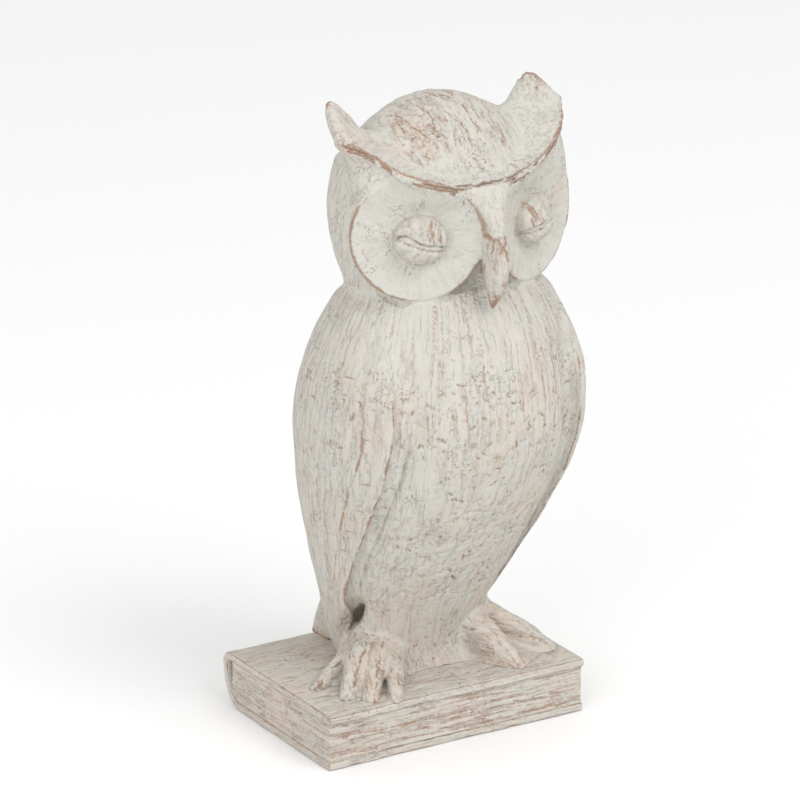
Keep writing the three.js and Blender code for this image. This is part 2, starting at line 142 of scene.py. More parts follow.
# Height, half width, front and back.
TORSO_POWER = 2.15
TORSO = [
    (26.3, 35, -17, 22), (40, 34.5, -19, 22), (52, 37, -24, 24), (75, 45, -38, 28),
    (99, 52, -53.5, 31), (124, 57.5, -68, 32), (148, 60.5, -76, 31), (160, 60.5, -77, 28),
    (179, 58, -75, 23), (196, 52, -70.5, 17), (207, 47, -65, 11), (216, 41, -58, 6),
]
WING_POWER = 2.4
WING_OUTSIDE = [
    (24, 30, -10, 26), (33, 35, -16, 28), (40, 38, -19, 30), (52, 41.5, -24, 30),
    (75, 48.5, -38, 31.5), (99, 55.5, -53.5, 34), (124, 60.5, -68, 35.5), (148, 63.5, -77, 34.5),
    (160, 63.5, -78, 32), (179, 61, -76.5, 25), (196, 54.5, -72, 18), (210, 46, -64, 10),
    (218, 41, -58, 6),
]
TAIL_POWER = 7
TAIL = [(26.3, 27, 30, 47), (34, 26, 28, 46), (50, 22, 24, 42.5), (75, 17, 20, 40), (105, 10, 18, 38)]
SKULL_POWER = 2.3
SKULL = [
    (209, 41, -55, 8), (216, 43.5, -54, 12), (226, 46, -53, 16), (240, 47.2, -51, 19.5),
    (253, 46.3, -50, 20), (265.7, 43.5, -49, 17.5),
]
BRIDGE = [
    (243, 3.3, -74.6, -58), (249, 4.7, -72.4, -57), (254, 6.6, -70, -56), (258, 8.8, -68, -54),
    (262, 12.5, -66, -52), (266, 18, -64.5, -50),
]
BEAK = [
    (210.8, 0.5, -70, -68), (214, 1.9, -72.3, -67), (221, 3.6, -76.3, -64.5),
    (230, 4.5, -78.8, -62), (238, 4.6, -78.3, -60), (245, 3.7, -75, -59),
]

# Wing seen from the side: height and depth of its front and rear edges.
WING_FRONT = [
    (31, 11), (42, 3), (61, -10), (87, -27), (112, -44), (136, -57), (161, -63), (180, -60.5),
    (196, -53.5), (207, -42),
]
WING_REAR = [(31, 11), (38, 19), (55, 29), (80, 40), (112, 50)]
WING_TOP = 205

DOME_CENTRE = (0, -19, 245)
DOME_RADII = (47.5, 40, 50.5)

# The brow's rim from the middle to one ear: side, depth and height.
BROW = [
    (0, -61, 266), (20, -58.5, 267.5), (38, -53, 274), (48.5, -46, 281.5), (53.5, -38, 285),
    (55.5, -32, 287.5), (47, -17, 281),
]

DISC_CENTRE = (29.5, -52, 243.9)
DISC_RADIUS = 29.7
DISC_TURN = math.radians(25)
DISC_DISH = 2.2
EYE_RADII = (12.2, 8.2, 11.2)
EYE_DROP = 1.5
EYE_SHIFT = {-1: 1.0, 1: 0.0}  # towards the beak
TUFT_SHIFT = {-1: (-2.4, 0, 0.8), 1: (-2.4, 0, 1.8)}
TUFT_THINNING = {-1: -0.6, 1: 1.3}
TUFT_BLEND = {-1: 5.5, 1: 8.0}


def stacked(block, rows, power, low_cap=True, high_cap=True):
    """Radial distance to a tower of rounded sections."""
    heights = block.z[0, 0]
    half, front, back = hermite(rows, heights).T.astype(np.float32)
    depth = (back - front) / 2
    y = block.y - (back + front)[None, None, :] / 2
    ratio = (np.abs(block.x) / half) ** power + (np.abs(y) / depth) ** power
    ratio = np.maximum(ratio, 1e-6) ** (1 / power)
    field = np.hypot(block.x, y) * (1 - 1 / ratio)
    inner = -np.minimum(half, depth)
    field = np.where(ratio < 0.3, inner[None, None, :] * 0.7, field)
    if low_cap:
        field = np.maximum(field, rows[0][0] - block.z)
    if high_cap:
        field = np.maximum(field, block.z - rows[-1][0])
    return field.astype(np.float32)


def ellipsoid(x, y, z, radii):
    near = np.sqrt((x / radii[0]) ** 2 + (y / radii[1]) ** 2 + (z / radii[2]) ** 2)
    steep = np.sqrt((x / radii[0] ** 2) ** 2 + (y / radii[1] ** 2) ** 2 + (z / radii[2] ** 2) ** 2)
    return near * (near - 1) / np.maximum(steep, 1e-6)


FAR = 40.0
labels = np.zeros(tuple(COUNTS), np.uint8)
nearest = np.full(tuple(COUNTS), FAR, np.float32)
field = np.full(tuple(COUNTS), FAR, np.float32)
LABEL_NAMES = []


def claim(block, part, name):
    """Notes where this part is the nearest one."""
    if name not in LABEL_NAMES:
        LABEL_NAMES.append(name)
    number = LABEL_NAMES.index(name)
    region = nearest[block.window]
    closer = part < region
    labels[block.window][closer] = number
    nearest[block.window] = np.where(closer, part, region)


def blend(block, part, k):
    field[block.window] = smooth_min(field[block.window], part, k)


def join(block, part, name, k):
    claim(block, part, name)
    blend(block, part, k)


# ---- Body ---------------------------------------------------------------------------------


def outline_distance(block):
    """Distance to a wing's outline seen from the side: below zero inside."""
    front = hermite(WING_FRONT, np.linspace(WING_FRONT[0][0], WING_FRONT[-1][0], 60))[:, 0]
    front_z = np.linspace(WING_FRONT[0][0], WING_FRONT[-1][0], 60)
    rear = hermite(WING_REAR, np.linspace(WING_REAR[0][0], WING_REAR[-1][0], 20))[:, 0]
    rear_z = np.linspace(WING_REAR[0][0], WING_REAR[-1][0], 20)
    ring = [(y, z) for y, z in zip(front, front_z)]
    ring += [(-20, WING_TOP + 3), (50, WING_TOP - 4)]
    ring += [(y, z) for y, z in zip(rear[::-1], rear_z[::-1])][:-1]
    ring = np.array(ring)
    y, z = np.meshgrid(block.y[0, :, 0], block.z[0, 0], indexing="ij")
    best = np.full(y.shape, 1e9)
    inside = np.zeros(y.shape, bool)
    for (ay, az), (by, bz) in zip(ring, np.roll(ring, -1, axis=0)):
        ey, ez = by - ay, bz - az
        t = np.clip(((y - ay) * ey + (z - az) * ez) / (ey * ey + ez * ez + 1e-9), 0, 1)
        best = np.minimum(best, (y - ay - t * ey) ** 2 + (z - az - t * ez) ** 2)
        crosses = (az > z) != (bz > z)
        with np.errstate(divide="ignore", invalid="ignore"):
            inside ^= crosses & (y < ey * (z - az) / (ez if ez else 1e-9) + ay)
    distance = np.sqrt(best)
    return np.where(inside, -distance, distance).astype(np.float32)


def back_strip(z):
    """Half width of the strip of back between the wings."""
    return np.interp(z, [20, 150, 230], [22, 7, 5])


def sculpt_body():
    block = Block((-66, -84, 0), (66, 52, 224))
    torso = stacked(block, TORSO, TORSO_POWER, low_cap=False)
    outside = stacked(block, WING_OUTSIDE, WING_POWER, low_cap=False)
    outline = outline_distance(block)[None, :, :]
    strip = back_strip(block.z[0, 0]).astype(np.float32)[None, None, :]
    behind = block.y > 0
    gate = np.where(behind, strip - np.abs(block.x), -30).astype(np.float32)
    front_edge = smoothstep(30, 55, block.z) * smoothstep(200, 176, block.z) * (block.y < 8)
    lip = 1.15 * np.exp(-(((outline + 2.2) / 1.7) ** 2)) * front_edge
    ahead = np.where(outline > 0.2, 4.5, 1.6)
    crease = 2.1 * np.exp(-(((outline - 0.2) / ahead) ** 2)) * front_edge
    slot = 6.5 * np.exp(-(((outline - 1.2) / 2.3) ** 2)) * smoothstep(66, 52, block.z) * (block.y < 14)
    torso = torso + crease + slot
    frontal = smoothstep(4, -16, block.y)
    wall = outline * 0.95 + frontal * (2.3 - 0.75 * np.clip(torso - crease, -3, 5))
    shoulder = frontal * smoothstep(172, 196, block.z)
    wing = smooth_max(outside - lip + 2.4 * shoulder, wall, 1.8)
    wing = smooth_max(wing, gate, 2.0)
    side = np.broadcast_to(block.x < 0, wing.shape)
    claim(block, torso, "torso")
    claim(block, np.where(side, wing, FAR), "left_wing")
    claim(block, np.where(side, FAR, wing), "right_wing")
    softness = 0.3 + 5.5 * smoothstep(165, 192, block.z)
    field[block.window] = smooth_min(torso, wing, softness)
    low = Block((-36, 14, 0), (36, 54, 112))
    tail = stacked(low, TAIL, TAIL_POWER, low_cap=False)
    join(low, tail, "tail", 2.0)


# ---- Head ---------------------------------------------------------------------------------


def disc_coords(block, side):
    """Coordinates across, into and up a face disc, with across running towards the ear."""
    x = block.x * side - DISC_CENTRE[0]
    y = block.y - DISC_CENTRE[1]
    across = x * math.cos(DISC_TURN) + y * math.sin(DISC_TURN)
    into = -x * math.sin(DISC_TURN) + y * math.cos(DISC_TURN)
    return across, into, block.z - DISC_CENTRE[2]


def disc_field(block, side):
    across, into, up = disc_coords(block, side)
    radius = np.sqrt(across**2 + 0 * into + up**2)
    share = np.clip(radius / DISC_RADIUS, 0, 1.3)
    face = DISC_DISH * (1 - smoothstep(0.3, 0.97, share)) - 0.5 * smoothstep(0.75, 0.97, share)
    front = face - into
    taper = radius - DISC_RADIUS + 0.42 * np.maximum(into - 2.6, 0)
    return smooth_max(front, taper, 1.1).astype(np.float32)


def eye_field(block, side):
    across, into, up = disc_coords(block, side)
    bulge = ellipsoid(across + EYE_SHIFT[side], into - 0.2, up + EYE_DROP, EYE_RADII)
    return bulge.astype(np.float32)


def rim_coords(block):
    """How far inwards of the brow's rim a place is, how far above it, and past its end."""
    rows = []
    for x, y, z in BROW:
        rows.append((math.atan2(x, -(y - DOME_CENTRE[1])), math.hypot(x, y - DOME_CENTRE[1]), z))
    turn = np.arctan2(np.abs(block.x), -(block.y - DOME_CENTRE[1]))
    turn = turn + 0 * block.x
    rim = hermite(rows, turn)
    reach = np.hypot(block.x, block.y - DOME_CENTRE[1])
    inset = (rim[..., 0] - reach).astype(np.float32)
    rise = (block.z - rim[..., 1]).astype(np.float32)
    return inset, rise, (turn - rows[-1][0]) * 56


def brow_field(inset, rise, past):
    """The visor: a dished shelf that runs from ear to ear, with a blunt upright rim."""
    top_rows = [(-4, 0.4), (0, 0.5), (2.5, 0.1), (6, -0.3), (12, -1.2), (20, -3), (32, -7)]
    top = hermite(top_rows, inset)[..., 0]
    under_rows = [(-4, -2.6), (0, -3.1), (3, -5.2), (7, -9.5), (12, -15), (18, -20)]
    under = hermite(under_rows, inset)[..., 0]
    shelf = smooth_max(rise - top, under - rise, 0.8)
    shelf = smooth_max(shelf, -inset, 1.2)
    shelf = smooth_max(shelf, past, 3)
    return smooth_max(shelf, inset - 27, 3).astype(np.float32)


def mesh_field(block, name, blur, shift):
    """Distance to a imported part, moved by a shift and with its flats blurred away."""
    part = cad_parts[name].data
    count = len(part.vertices)
    points = np.empty(count * 3, np.float32)
    part.vertices.foreach_get("co", points)
    points = points.reshape(-1, 3) / MM - np.array([OWL_X, 0, 0], np.float32) + shift
    part.calc_loop_triangles()
    triangles = np.empty(len(part.loop_triangles) * 3, np.int32)
    part.loop_triangles.foreach_get("vertices", triangles)
    corner = np.array([AXES[i][block.window[i].start] for i in range(3)], np.float32)
    grid = vdb.FloatGrid.createLevelSetFromPolygons(
        ((points - corner) / VOXEL).astype(np.float32),
        triangles=triangles.reshape(-1, 3),
        transform=vdb.createLinearTransform(1.0),
        halfWidth=8,
    )
    values = np.full(block.shape, 8, np.float32)
    grid.copyToArray(values, ijk=(0, 0, 0))
    return gauss(values * VOXEL, blur)


def gauss(values, sigma):
    """A soft blur along all three directions; sigma is in millimetres."""
    reach = max(int(round(2.6 * sigma / VOXEL)), 1)
    steps = np.arange(-reach, reach + 1)
    weights = np.exp(-0.5 * (steps * VOXEL / sigma) ** 2)
    weights /= weights.sum()
    for axis in range(3):
        first, last = (np.repeat(values.take([end], axis), reach, axis) for end in (0, -1))
        padded = np.concatenate([first, values, last], axis)
        total = np.zeros_like(values)
        for offset, weight in enumerate(weights):
            window = [slice(None)] * 3
            window[axis] = slice(offset, offset + values.shape[axis])
            total += np.float32(weight) * padded[tuple(window)]
        values = total
    return values


def sculpt_head():
    block = Block((-66, -84, 200), (66, 52, 330))
    skull = stacked(block, SKULL, SKULL_POWER)
    dome = ellipsoid(
        block.x - DOME_CENTRE[0], block.y - DOME_CENTRE[1], block.z - DOME_CENTRE[2], DOME_RADII
    ).astype(np.float32)
    upper = smooth_max(dome, 262 - block.z, 4)
    join(block, skull, "skull", 6.0)
    inset, rise, past = rim_coords(block)
    for side, word in SIDES:
        disc = smooth_max(disc_field(block, side), rise + 3.5, 2)
        join(block, disc, word + "_face_disc", 1.2)
    brow = brow_field(inset, rise, past)
    claim(block, upper, "crown")
    claim(block, brow, "brow_ridge")
    visor = smooth_min(upper, brow, 11.0)
    blend(block, visor, 6.0)
    for side, word in SIDES:
        temple = ellipsoid(block.x - side * 44, block.y + 36, block.z - 268, (9, 10, 12))
        join(block, temple.astype(np.float32), "skull", 6.0)
        tuft = mesh_field(block, word + "_ear_tuft", 1.6, np.array(TUFT_SHIFT[side], np.float32))
        join(block, tuft + TUFT_THINNING[side], word + "_ear_tuft", TUFT_BLEND[side])
    small = Block((-16, -84, 204), (16, -40, 272))
    small.x = small.x + 1.9 * smoothstep(250, 211, small.z)
    join(small, stacked(small, BRIDGE, 2.2), "nasal_bridge", 1.6)
    join(small, stacked(small, BEAK, 2.0), "beak", 1.2)
    for side, word in SIDES:
        low = (min(side * 10, side * 52), -72, 225)
        high = (max(side * 10, side * 52), -28, 264)
        near = Block(low, high)
        join(near, eye_field(near, side), word + "_eye", 1.0)


# ---- Feet ---------------------------------------------------------------------------------

# Tip, root, girth and arch of each toe; side is from the owl's middle outwards.
LEFT_TOES = {
    "left_toe_outer": ((60, -15.5), (33, -4, 33), 4.2, 2.0),
    "left_toe_second": ((53, -31.5), (28, -6, 38), 6.5, 5.0),
    "left_toe_third": ((45.5, -38.5), (23, -9, 38), 6.0, 5.0),
    "left_toe_inner": ((36.5, -45), (18, -14, 34), 4.6, 4.5),
}
RIGHT_TOES = {
    "right_toe_outer": ((58, -10), (31, -2, 37), 5.4, 2.0),
    "right_toe_middle": ((54, -29.5), (28, -6, 43), 6.0, 0.5),
    "right_toe_inner": ((30.5, -38), (20, -11, 41), 7.2, 3.0),
}
WEB_REACH = {"left": 31, "right": 38}
FOOT_PLACE = (27, -6, 28)
FOOT_RADII = (11, 13, 14)


def bezier(controls, t):
    """Points along the curve from the first control point to the last."""
    points = [np.array(c, float) for c in controls]
    while len(points) > 1:
        points = [a * (1 - t) + b * t for a, b in zip(points, points[1:])]
    return points[0]


def toe_path(tip, root, arch, side):
    start = np.array([side * root[0], root[1], root[2]])
    end = np.array([side * tip[0], tip[1], BOOK_TOP + 0.2])
    middle = (start + end) / 2 + np.array([0, 0, arch])
    t = np.linspace(0, 1, 26)[:, None]
    return bezier((start, middle, end), t)


def toe_field(block, tip, root, girth, arch, side):
    path = toe_path(tip, root, arch, side)
    total = np.full(block.shape, FAR, np.float32)
    for i, (x, y, z) in enumerate(path):
        along = i / (len(path) - 1)
        width = girth * (1 - 0.5 * along**2.2)
        ball = np.sqrt((block.x - x) ** 2 + (block.y - y) ** 2 + ((block.z - z) / 1.25) ** 2)
        total = np.minimum(total, ball - width)
    return total


def web_field(block, toes, side, reach):
    """A sloping web between a foot's outermost toes."""
    tips = [np.array(tip, float) for tip, _, _, _ in toes.values()]
    x, y = side * block.x - 22, block.y + 5
    outer = tips[0] - (22, -5)
    inner = tips[-1] - (22, -5)
    wedge = np.maximum(
        (-outer[1] * x + outer[0] * y) / np.linalg.norm(outer),
        (inner[1] * x - inner[0] * y) / np.linalg.norm(inner),
    )
    slope = block.z - (BOOK_TOP - 1 + 16 * (1 - np.hypot(x, y) / reach))
    return smooth_max(0.85 * slope, wedge, 3).astype(np.float32)


def sculpt_feet():
    for side, word, toes in ((-1, "left", LEFT_TOES), (1, "right", RIGHT_TOES)):
        low = (min(side * 4, side * 66), -56, 0)
        high = (max(side * 4, side * 66), 16, 64)
        block = Block(low, high)
        x, y, z = FOOT_PLACE
        foot = ellipsoid(block.x - side * x, block.y - y, block.z - z, FOOT_RADII)
        join(block, foot.astype(np.float32), word + "_foot", 13.0)
        join(block, web_field(block, toes, side, WEB_REACH[word]), word + "_foot", 3.0)
        for name, (tip, root, girth, arch) in toes.items():
            join(block, toe_field(block, tip, root, girth, arch, side), name, 2.6)
    low = Block((-66, -70, 0), (66, 14, 50))
    between = smoothstep(26, 14, np.abs(low.x))
    soft = (1.0 + (4.6 + 7 * between) * smoothstep(4, -6, low.y)).astype(np.float32)
    blend(low, low.z - (BOOK_TOP - 1.5), soft)


def skin():
    """The surface of the whole owl as points and four-sided faces, with the clipped field it came from."""
    solid = np.maximum(field, (BOOK_TOP - SUNK) - AXES[2][None, None, :])
    solid = np.clip(solid, -4 * VOXEL, 4 * VOXEL)
    solid[:, :, 0] = solid[:, :, -1] = 4 * VOXEL
    solid[0] = solid[-1] = 4 * VOXEL
    solid[:, 0] = solid[:, -1] = 4 * VOXEL
    grid = vdb.FloatGrid(4 * VOXEL)
    grid.copyFromArray(solid.astype(np.float32))
    points, quads = grid.convertToQuads(isovalue=0.0)
    return points * VOXEL + GRID_LOW, quads, solid


# ---- Noise and carving --------------------------------------------------------------------


def lattice(ix, iy, iz, seed):
    """A repeatable number from -1 to 1 for each corner of a lattice."""
    h = ix * 374761393 + iy * 668265263 + iz * 2147483647 + seed * 974634777
    h = (h ^ (h >> 13)) * 1274126177
    h = (h ^ (h >> 16)) & 0xFFFFFF
    return h.astype(np.float32) / 0x7FFFFF - 1


def noise(points, size, seed):
    """Smooth noise from -1 to 1 whose bumps are about this size; size may differ by direction."""
    p = points / np.asarray(size, float) + 1000.0
    cell = np.floor(p).astype(np.int64)
    t = (p - cell).astype(np.float32)
    t = t * t * (3 - 2 * t)
    total = 0
    for dx in (0, 1):
        wx = t[:, 0] if dx else 1 - t[:, 0]
        for dy in (0, 1):
            wy = t[:, 1] if dy else 1 - t[:, 1]
            for dz in (0, 1):
                wz = t[:, 2] if dz else 1 - t[:, 2]
                corner = lattice(cell[:, 0] + dx, cell[:, 1] + dy, cell[:, 2] + dz, seed)
                total = total + wx * wy * wz * corner
    return total


def fractal(points, size, seed, octaves=3):
    size = np.asarray(size, float)
    total, gain = 0, 1.0
    for octave in range(octaves):
        total = total + gain * noise(points, size / 2**octave, seed + octave)
        gain *= 0.5
    return total / (2 - 2 * gain)


def line(value, width):
    """1 where value crosses zero and 0 further than width from it."""
    return np.exp(-((value / width) ** 2))


def vertex_normals(points, quads):
    a, b, c, d = (points[quads[:, i]] for i in range(4))
    face = np.cross(c - a, d - b)
    total = np.zeros_like(points)
    for axis in range(3):
        weight = np.tile(face[:, axis], 4)
        total[:, axis] = np.bincount(quads.T.ravel(), weight, len(points))
    return total / np.maximum(np.linalg.norm(total, axis=1, keepdims=True), 1e-12)


class Neighbours:
    """Averages values over the surface."""

    def __init__(self, count, quads):
        ring = np.roll(quads, -1, axis=1)
        self.a = quads.ravel()
        self.b = ring.ravel()
        self.count = count
        self.share = np.bincount(self.a, minlength=count) + np.bincount(self.b, minlength=count)

    def smooth(self, values, rounds):
        for _ in range(rounds):
            total = np.bincount(self.a, values[self.b], self.count)
            total += np.bincount(self.b, values[self.a], self.count)
            values = 0.5 * values + 0.5 * total / np.maximum(self.share, 1)
        return values


def sample(values, points):
    """Trilinear reading of a grid at points."""
    spot = (points - GRID_LOW) / VOXEL
    cell = np.clip(np.floor(spot).astype(int), 0, COUNTS - 2)
    t = np.clip(spot - cell, 0, 1)
    total = 0
    for dx in (0, 1):
        for dy in (0, 1):
            for dz in (0, 1):
                weight = 1
                for axis, step in enumerate((dx, dy, dz)):
                    weight = weight * (t[:, axis] if step else 1 - t[:, axis])
                total = total + weight * values[cell[:, 0] + dx, cell[:, 1] + dy, cell[:, 2] + dz]
    return total


def drawn(random, path, *ranges):
    """A stroke: its path, then its width, cut, stain and shade, each from its own range."""
    return (np.array(path), *(random.uniform(*span) for span in ranges))


def strokes(seed, count, area, length, heading, turn, wobble, width, cut, stain, shade=(0, 0.2)):
    """Random strokes in an area (low across, high across, low along, high along).
    heading is the angle from the along direction and turn its spread, in degrees."""
    random = np.random.default_rng(seed)
    made = []
    for _ in range(count):
        start = np.array([random.uniform(area[0], area[1]), random.uniform(area[2], area[3])])
        angle = math.radians(heading + random.normal(0, turn))
        size = random.uniform(*length)
        steps = max(3, min(8, int(size / 1.8)))
        forward = np.array([math.sin(angle), math.cos(angle)])
        aside = np.array([forward[1], -forward[0]])
        places = np.linspace(-0.5, 0.5, steps)[:, None] * size * forward
        drift = random.normal(0, wobble, (steps, 1)) * aside
        path = start + places + drift
        made.append(drawn(random, path, width, cut, stain, shade))
    return made


def squiggles(seed, centres, count, spread, width, cut, stain):
    """Tiny crooked marks scattered round some centres."""
    random = np.random.default_rng(seed)
    made = []
    for _ in range(count):
        centre = np.array(centres[random.integers(len(centres))], float)
        start = centre + random.normal(0, 1, 2) * spread
        angle = random.uniform(0, 2 * math.pi)
        path = [start]
        for _ in range(random.integers(1, 4)):
            angle += random.normal(0, 1.0)
            step = random.uniform(0.6, 1.8)
            path.append(path[-1] + step * np.array([math.cos(angle), math.sin(angle)]))
        made.append(drawn(random, path, width, cut, stain, (0, 0.5)))
    return made


def section_coords(points, rows):
    """Place across and in depth as a share of the section at that height."""
    half, front, back = hermite(rows, points[:, 2]).T
    across = points[:, 0] / half
    deep = (points[:, 1] - (front + back) / 2) / ((back - front) / 2)
    return across, deep


class Rows:
    """Points in the shape that the coordinate functions read."""

    def __init__(self, points):
        self.x, self.y, self.z = points.T


class Owl:
    """The owl's skin with everything that its carving and its paint need."""

    def __init__(self):
        self.points, self.quads, solid = skin()
        self.normals = vertex_normals(self.points, self.quads)
        self.near = Neighbours(len(self.points), self.quads)
        occupied = (np.clip(-solid / VOXEL, -0.5, 0.5) + 0.5).astype(np.float32)
        narrow = gauss(occupied, 1.3)
        wide = gauss(narrow, 4.0)
        self.edge = np.clip((0.5 - sample(narrow, self.points)) * 4, -1, 1)
        self.hollow = np.clip((sample(wide, self.points) - 0.5) * 4, -1, 1)
        cell = np.rint((self.points - GRID_LOW) / VOXEL).astype(int)
        cell = np.clip(cell, 0, COUNTS - 1)
        self.label = labels[cell[:, 0], cell[:, 1], cell[:, 2]]
        for layer in ("depth", "brown", "grey", "blush", "crest", "lid_split"):
            setattr(self, layer, np.zeros(len(self.points)))
        self.flow = self.points.copy()
        self.rim = rim_coords(Rows(self.points))

    def mask(self, *names, rounds=6):
        """1 on the named parts, fading to 0 past them."""
        wanted = [LABEL_NAMES.index(n) for n in names if n in LABEL_NAMES]
        return self.near.smooth(np.isin(self.label, wanted).astype(float), rounds)

    def set_flow(self, mask, flow):
        chosen = mask > 0.5
        self.flow[chosen] = flow[chosen]

    def stamp(self, mask, across, along, strokes):
        """Cuts drawn strokes into a part; across and along are flat coordinates on it."""
        chosen = np.flatnonzero(mask > 0.05)
        u, v, share = across[chosen], along[chosen], mask[chosen]
        depth, brown, grey = (np.zeros(len(chosen)) for _ in range(3))
        for path, width, cut, stain, shade in strokes:
            low, high = path.min(0) - 3 * width, path.max(0) + 3 * width
            near = np.flatnonzero((u > low[0]) & (u < high[0]) & (v > low[1]) & (v < high[1]))
            if not len(near):
                continue
            best, place = np.full(len(near), 1e9), np.zeros(len(near))
            pieces = len(path) - 1
            for i in range(pieces):
                (ax, ay), (bx, by) = path[i], path[i + 1]
                ex, ey = bx - ax, by - ay
                t = ((u[near] - ax) * ex + (v[near] - ay) * ey) / (ex * ex + ey * ey + 1e-9)
                t = np.clip(t, 0, 1)
                away = np.hypot(u[near] - ax - t * ex, v[near] - ay - t * ey)
                closer = away < best
                best[closer] = away[closer]
                place[closer] = ((i + t) / pieces)[closer]
            taper = np.minimum(1, 5 * np.minimum(place, 1 - place) + 0.35)
            shape = np.exp(-((best / (width * taper)) ** 2)) * share[near]
            depth[near] = np.maximum(depth[near], shape * cut * taper)
            brown[near] = np.maximum(brown[near], shape * stain)
            grey[near] = np.maximum(grey[near], shape * shade * 0.3)
        self.depth[chosen] += depth
        self.brown[chosen] = np.maximum(self.brown[chosen], brown)
        self.grey[chosen] = np.maximum(self.grey[chosen], grey)

    def carve(self, depth, brown=0.0, grey=0.0):
        """Adds a cut, in millimetres below the surface, with its brown paint and its grey, which is grime
        in cracks and painted shade in hollows.
        """
        self.depth = self.depth + depth
        self.brown = np.maximum(self.brown, brown)
        self.grey = np.maximum(self.grey, grey)


# Centres of the clusters of small marks: place round the body and height.
TORSO_MARKS = [
    (-22, 172), (-14, 165), (-5, 170), (-30, 160), (12, 150), (25, 168), (40, 178), (-12, 120),
    (5, 135), (30, 130), (48, 150), (-20, 95), (10, 90), (28, 100), (0, 70), (90, 120), (-90, 150),
]


def carve_torso(owl):
    p = owl.points
    x, y, z = p.T
    body = owl.mask("torso")
    across, deep = section_coords(p, TORSO)
    flow = np.stack([across * 52, deep * 46, z / 9], 1)
    owl.set_flow(owl.mask("torso", "left_wing", "right_wing", "tail", "left_foot", "right_foot"), flow)
    front = smoothstep(0.1, -0.3, deep)
    upper = smoothstep(125, 165, z)
    lower = smoothstep(128, 108, z) * smoothstep(50, 66, z) * front
    broad = noise(flow, (4.5, 4.5, 2.0), 11)
    comb = noise(flow, (2.3, 2.3, 1.6), 12)
    wander = noise(p, (14, 14, 20), 13)
    amount = body * (0.55 + 0.45 * smoothstep(-0.4, 0.5, wander)) * (1 - 0.6 * lower)
    owl.depth += amount * (0.1 * broad + 0.09 * comb * (0.5 + 0.8 * upper))
    turn = np.arctan2(across, -deep)
    u = turn * 46
    owl.stamp(body * upper, u, z, strokes(
        201, 330, (-140, 140, 140, 212), (14, 60), 0, 1.5, 0.25, (0.36, 0.5), (0.15, 0.35), (0.25, 0.75)))
    owl.stamp(body * (1 - 0.7 * lower), u, z, strokes(
        202, 420, (-140, 140, 30, 205), (8, 42), 0, 3, 0.35, (0.36, 0.5), (0.1, 0.32), (0.2, 0.7)))
    scratches = strokes(
        203, 330, (-48, 52, 52, 128), (1.6, 6), 68, 30, 0.4, (0.42, 0.75), (0.35, 0.8), (0.1, 0.7))
    scratches += strokes(
        204, 120, (-48, 52, 50, 125), (2, 7), 15, 25, 0.4, (0.42, 0.75), (0.3, 0.75), (0.1, 0.7))
    owl.stamp(body * lower, u, z, scratches)
    slanted = np.stack([x + 0.35 * z, y, z - 0.3 * x], 1)
    rough = fractal(slanted, (7, 4.5, 2.2), 16)
    owl.depth += body * lower * 0.42 * rough
    owl.stamp(body, u, z, squiggles(
        205, TORSO_MARKS, 420, 8, (0.38, 0.6), (0.35, 0.8), (0.35, 0.95)))


def carve_pits(owl):
    """Small squiggles and pits that the paint didn't fill, in loose clusters."""
    p = owl.points
    zone = owl.mask("torso", "left_wing", "right_wing", "crown", "tail")
    twist = np.stack([noise(p, 5, 21), noise(p, 5, 22), noise(p, 5, 23)], 1) * 1.6
    cluster = smoothstep(-0.2, 0.5, noise(p, 17, 24) + 0.2 * noise(p, 7, 25))
    pit = smoothstep(0.55, 0.8, noise(p + twist, 1.8, 28))
    cut = pit * cluster * zone
    owl.carve(0.35 * cut, brown=0.7 * cut, grey=0.3 * cut)


WING_MARKS = [(30, 168), (22, 150), (34, 132), (26, 115), (14, 170), (50, 90), (20, 70), (60, 150)]


def carve_wings(owl):
    p = owl.points
    x, y, z = p.T
    across, _ = section_coords(p, WING_OUTSIDE)
    front = hermite(WING_FRONT, z)[:, 0]
    rear = np.interp(z, [r[0] for r in WING_REAR], [r[1] for r in WING_REAR])
    share = (y - front) / np.maximum(rear - front, 8)
    flow = np.stack([share * 72, across * 30, z / 20], 1)
    for side, word in SIDES:
        wing = owl.mask(word + "_wing")
        broad = noise(flow, (5.0, 9, 2.2), 31)
        comb = noise(flow, (2.3, 9, 1.5), 32)
        owl.depth += wing * (0.12 * broad + 0.08 * comb)
        u = share * 70 + 0.35 * (63 - np.abs(x))
        number = 210 if side < 0 else 220
        owl.stamp(wing, u, z, strokes(
            number, 260, (-4, 95, 35, 200), (10, 50), 0, 2.5, 0.35, (0.36, 0.5), (0.12, 0.35), (0.2, 0.65)))
        owl.stamp(wing, u, z, strokes(
            number + 1, 30, (4, 34, 38, 120), (10, 30), 3, 2, 0.5, (0.35, 0.5), (0.2, 0.45), (0.3, 0.75)))
        owl.stamp(wing, u, z, strokes(
            number + 2, 22, (20, 60, 140, 182), (10, 30), -6, 4, 0.5,
            (0.35, 0.5), (0.15, 0.35), (0.3, 0.65)))
        owl.stamp(wing, u, z, squiggles(
            number + 3, WING_MARKS, 100, 7, (0.38, 0.6), (0.3, 0.7), (0.35, 0.9)))
        owl.stamp(wing, u, z, edge_marks())
        tint = smoothstep(2.5, 4, u) * smoothstep(14.5, 9, u)
        tint *= smoothstep(98, 104, z) * smoothstep(128, 118, z)
        owl.carve(0, brown=0.35 * tint * wing)
    behind = (y - front) * 0.8
    shadow = smoothstep(0.6, -0.2, behind) * smoothstep(-3.2, -0.2, behind)
    shadow *= smoothstep(60, 74, z) * smoothstep(185, 150, z)
    sides = smoothstep(28, 36, np.abs(x))
    owl.carve(0, grey=0.82 * shadow * sides)
    # painted highlight: a band just behind each wing's front edge that is later kept lighter
    crest = line(behind - 1.6, 1.3) * smoothstep(50, 66, z) * smoothstep(192, 176, z) * sides
    owl.crest = crest * owl.mask("left_wing", "right_wing", rounds=2)


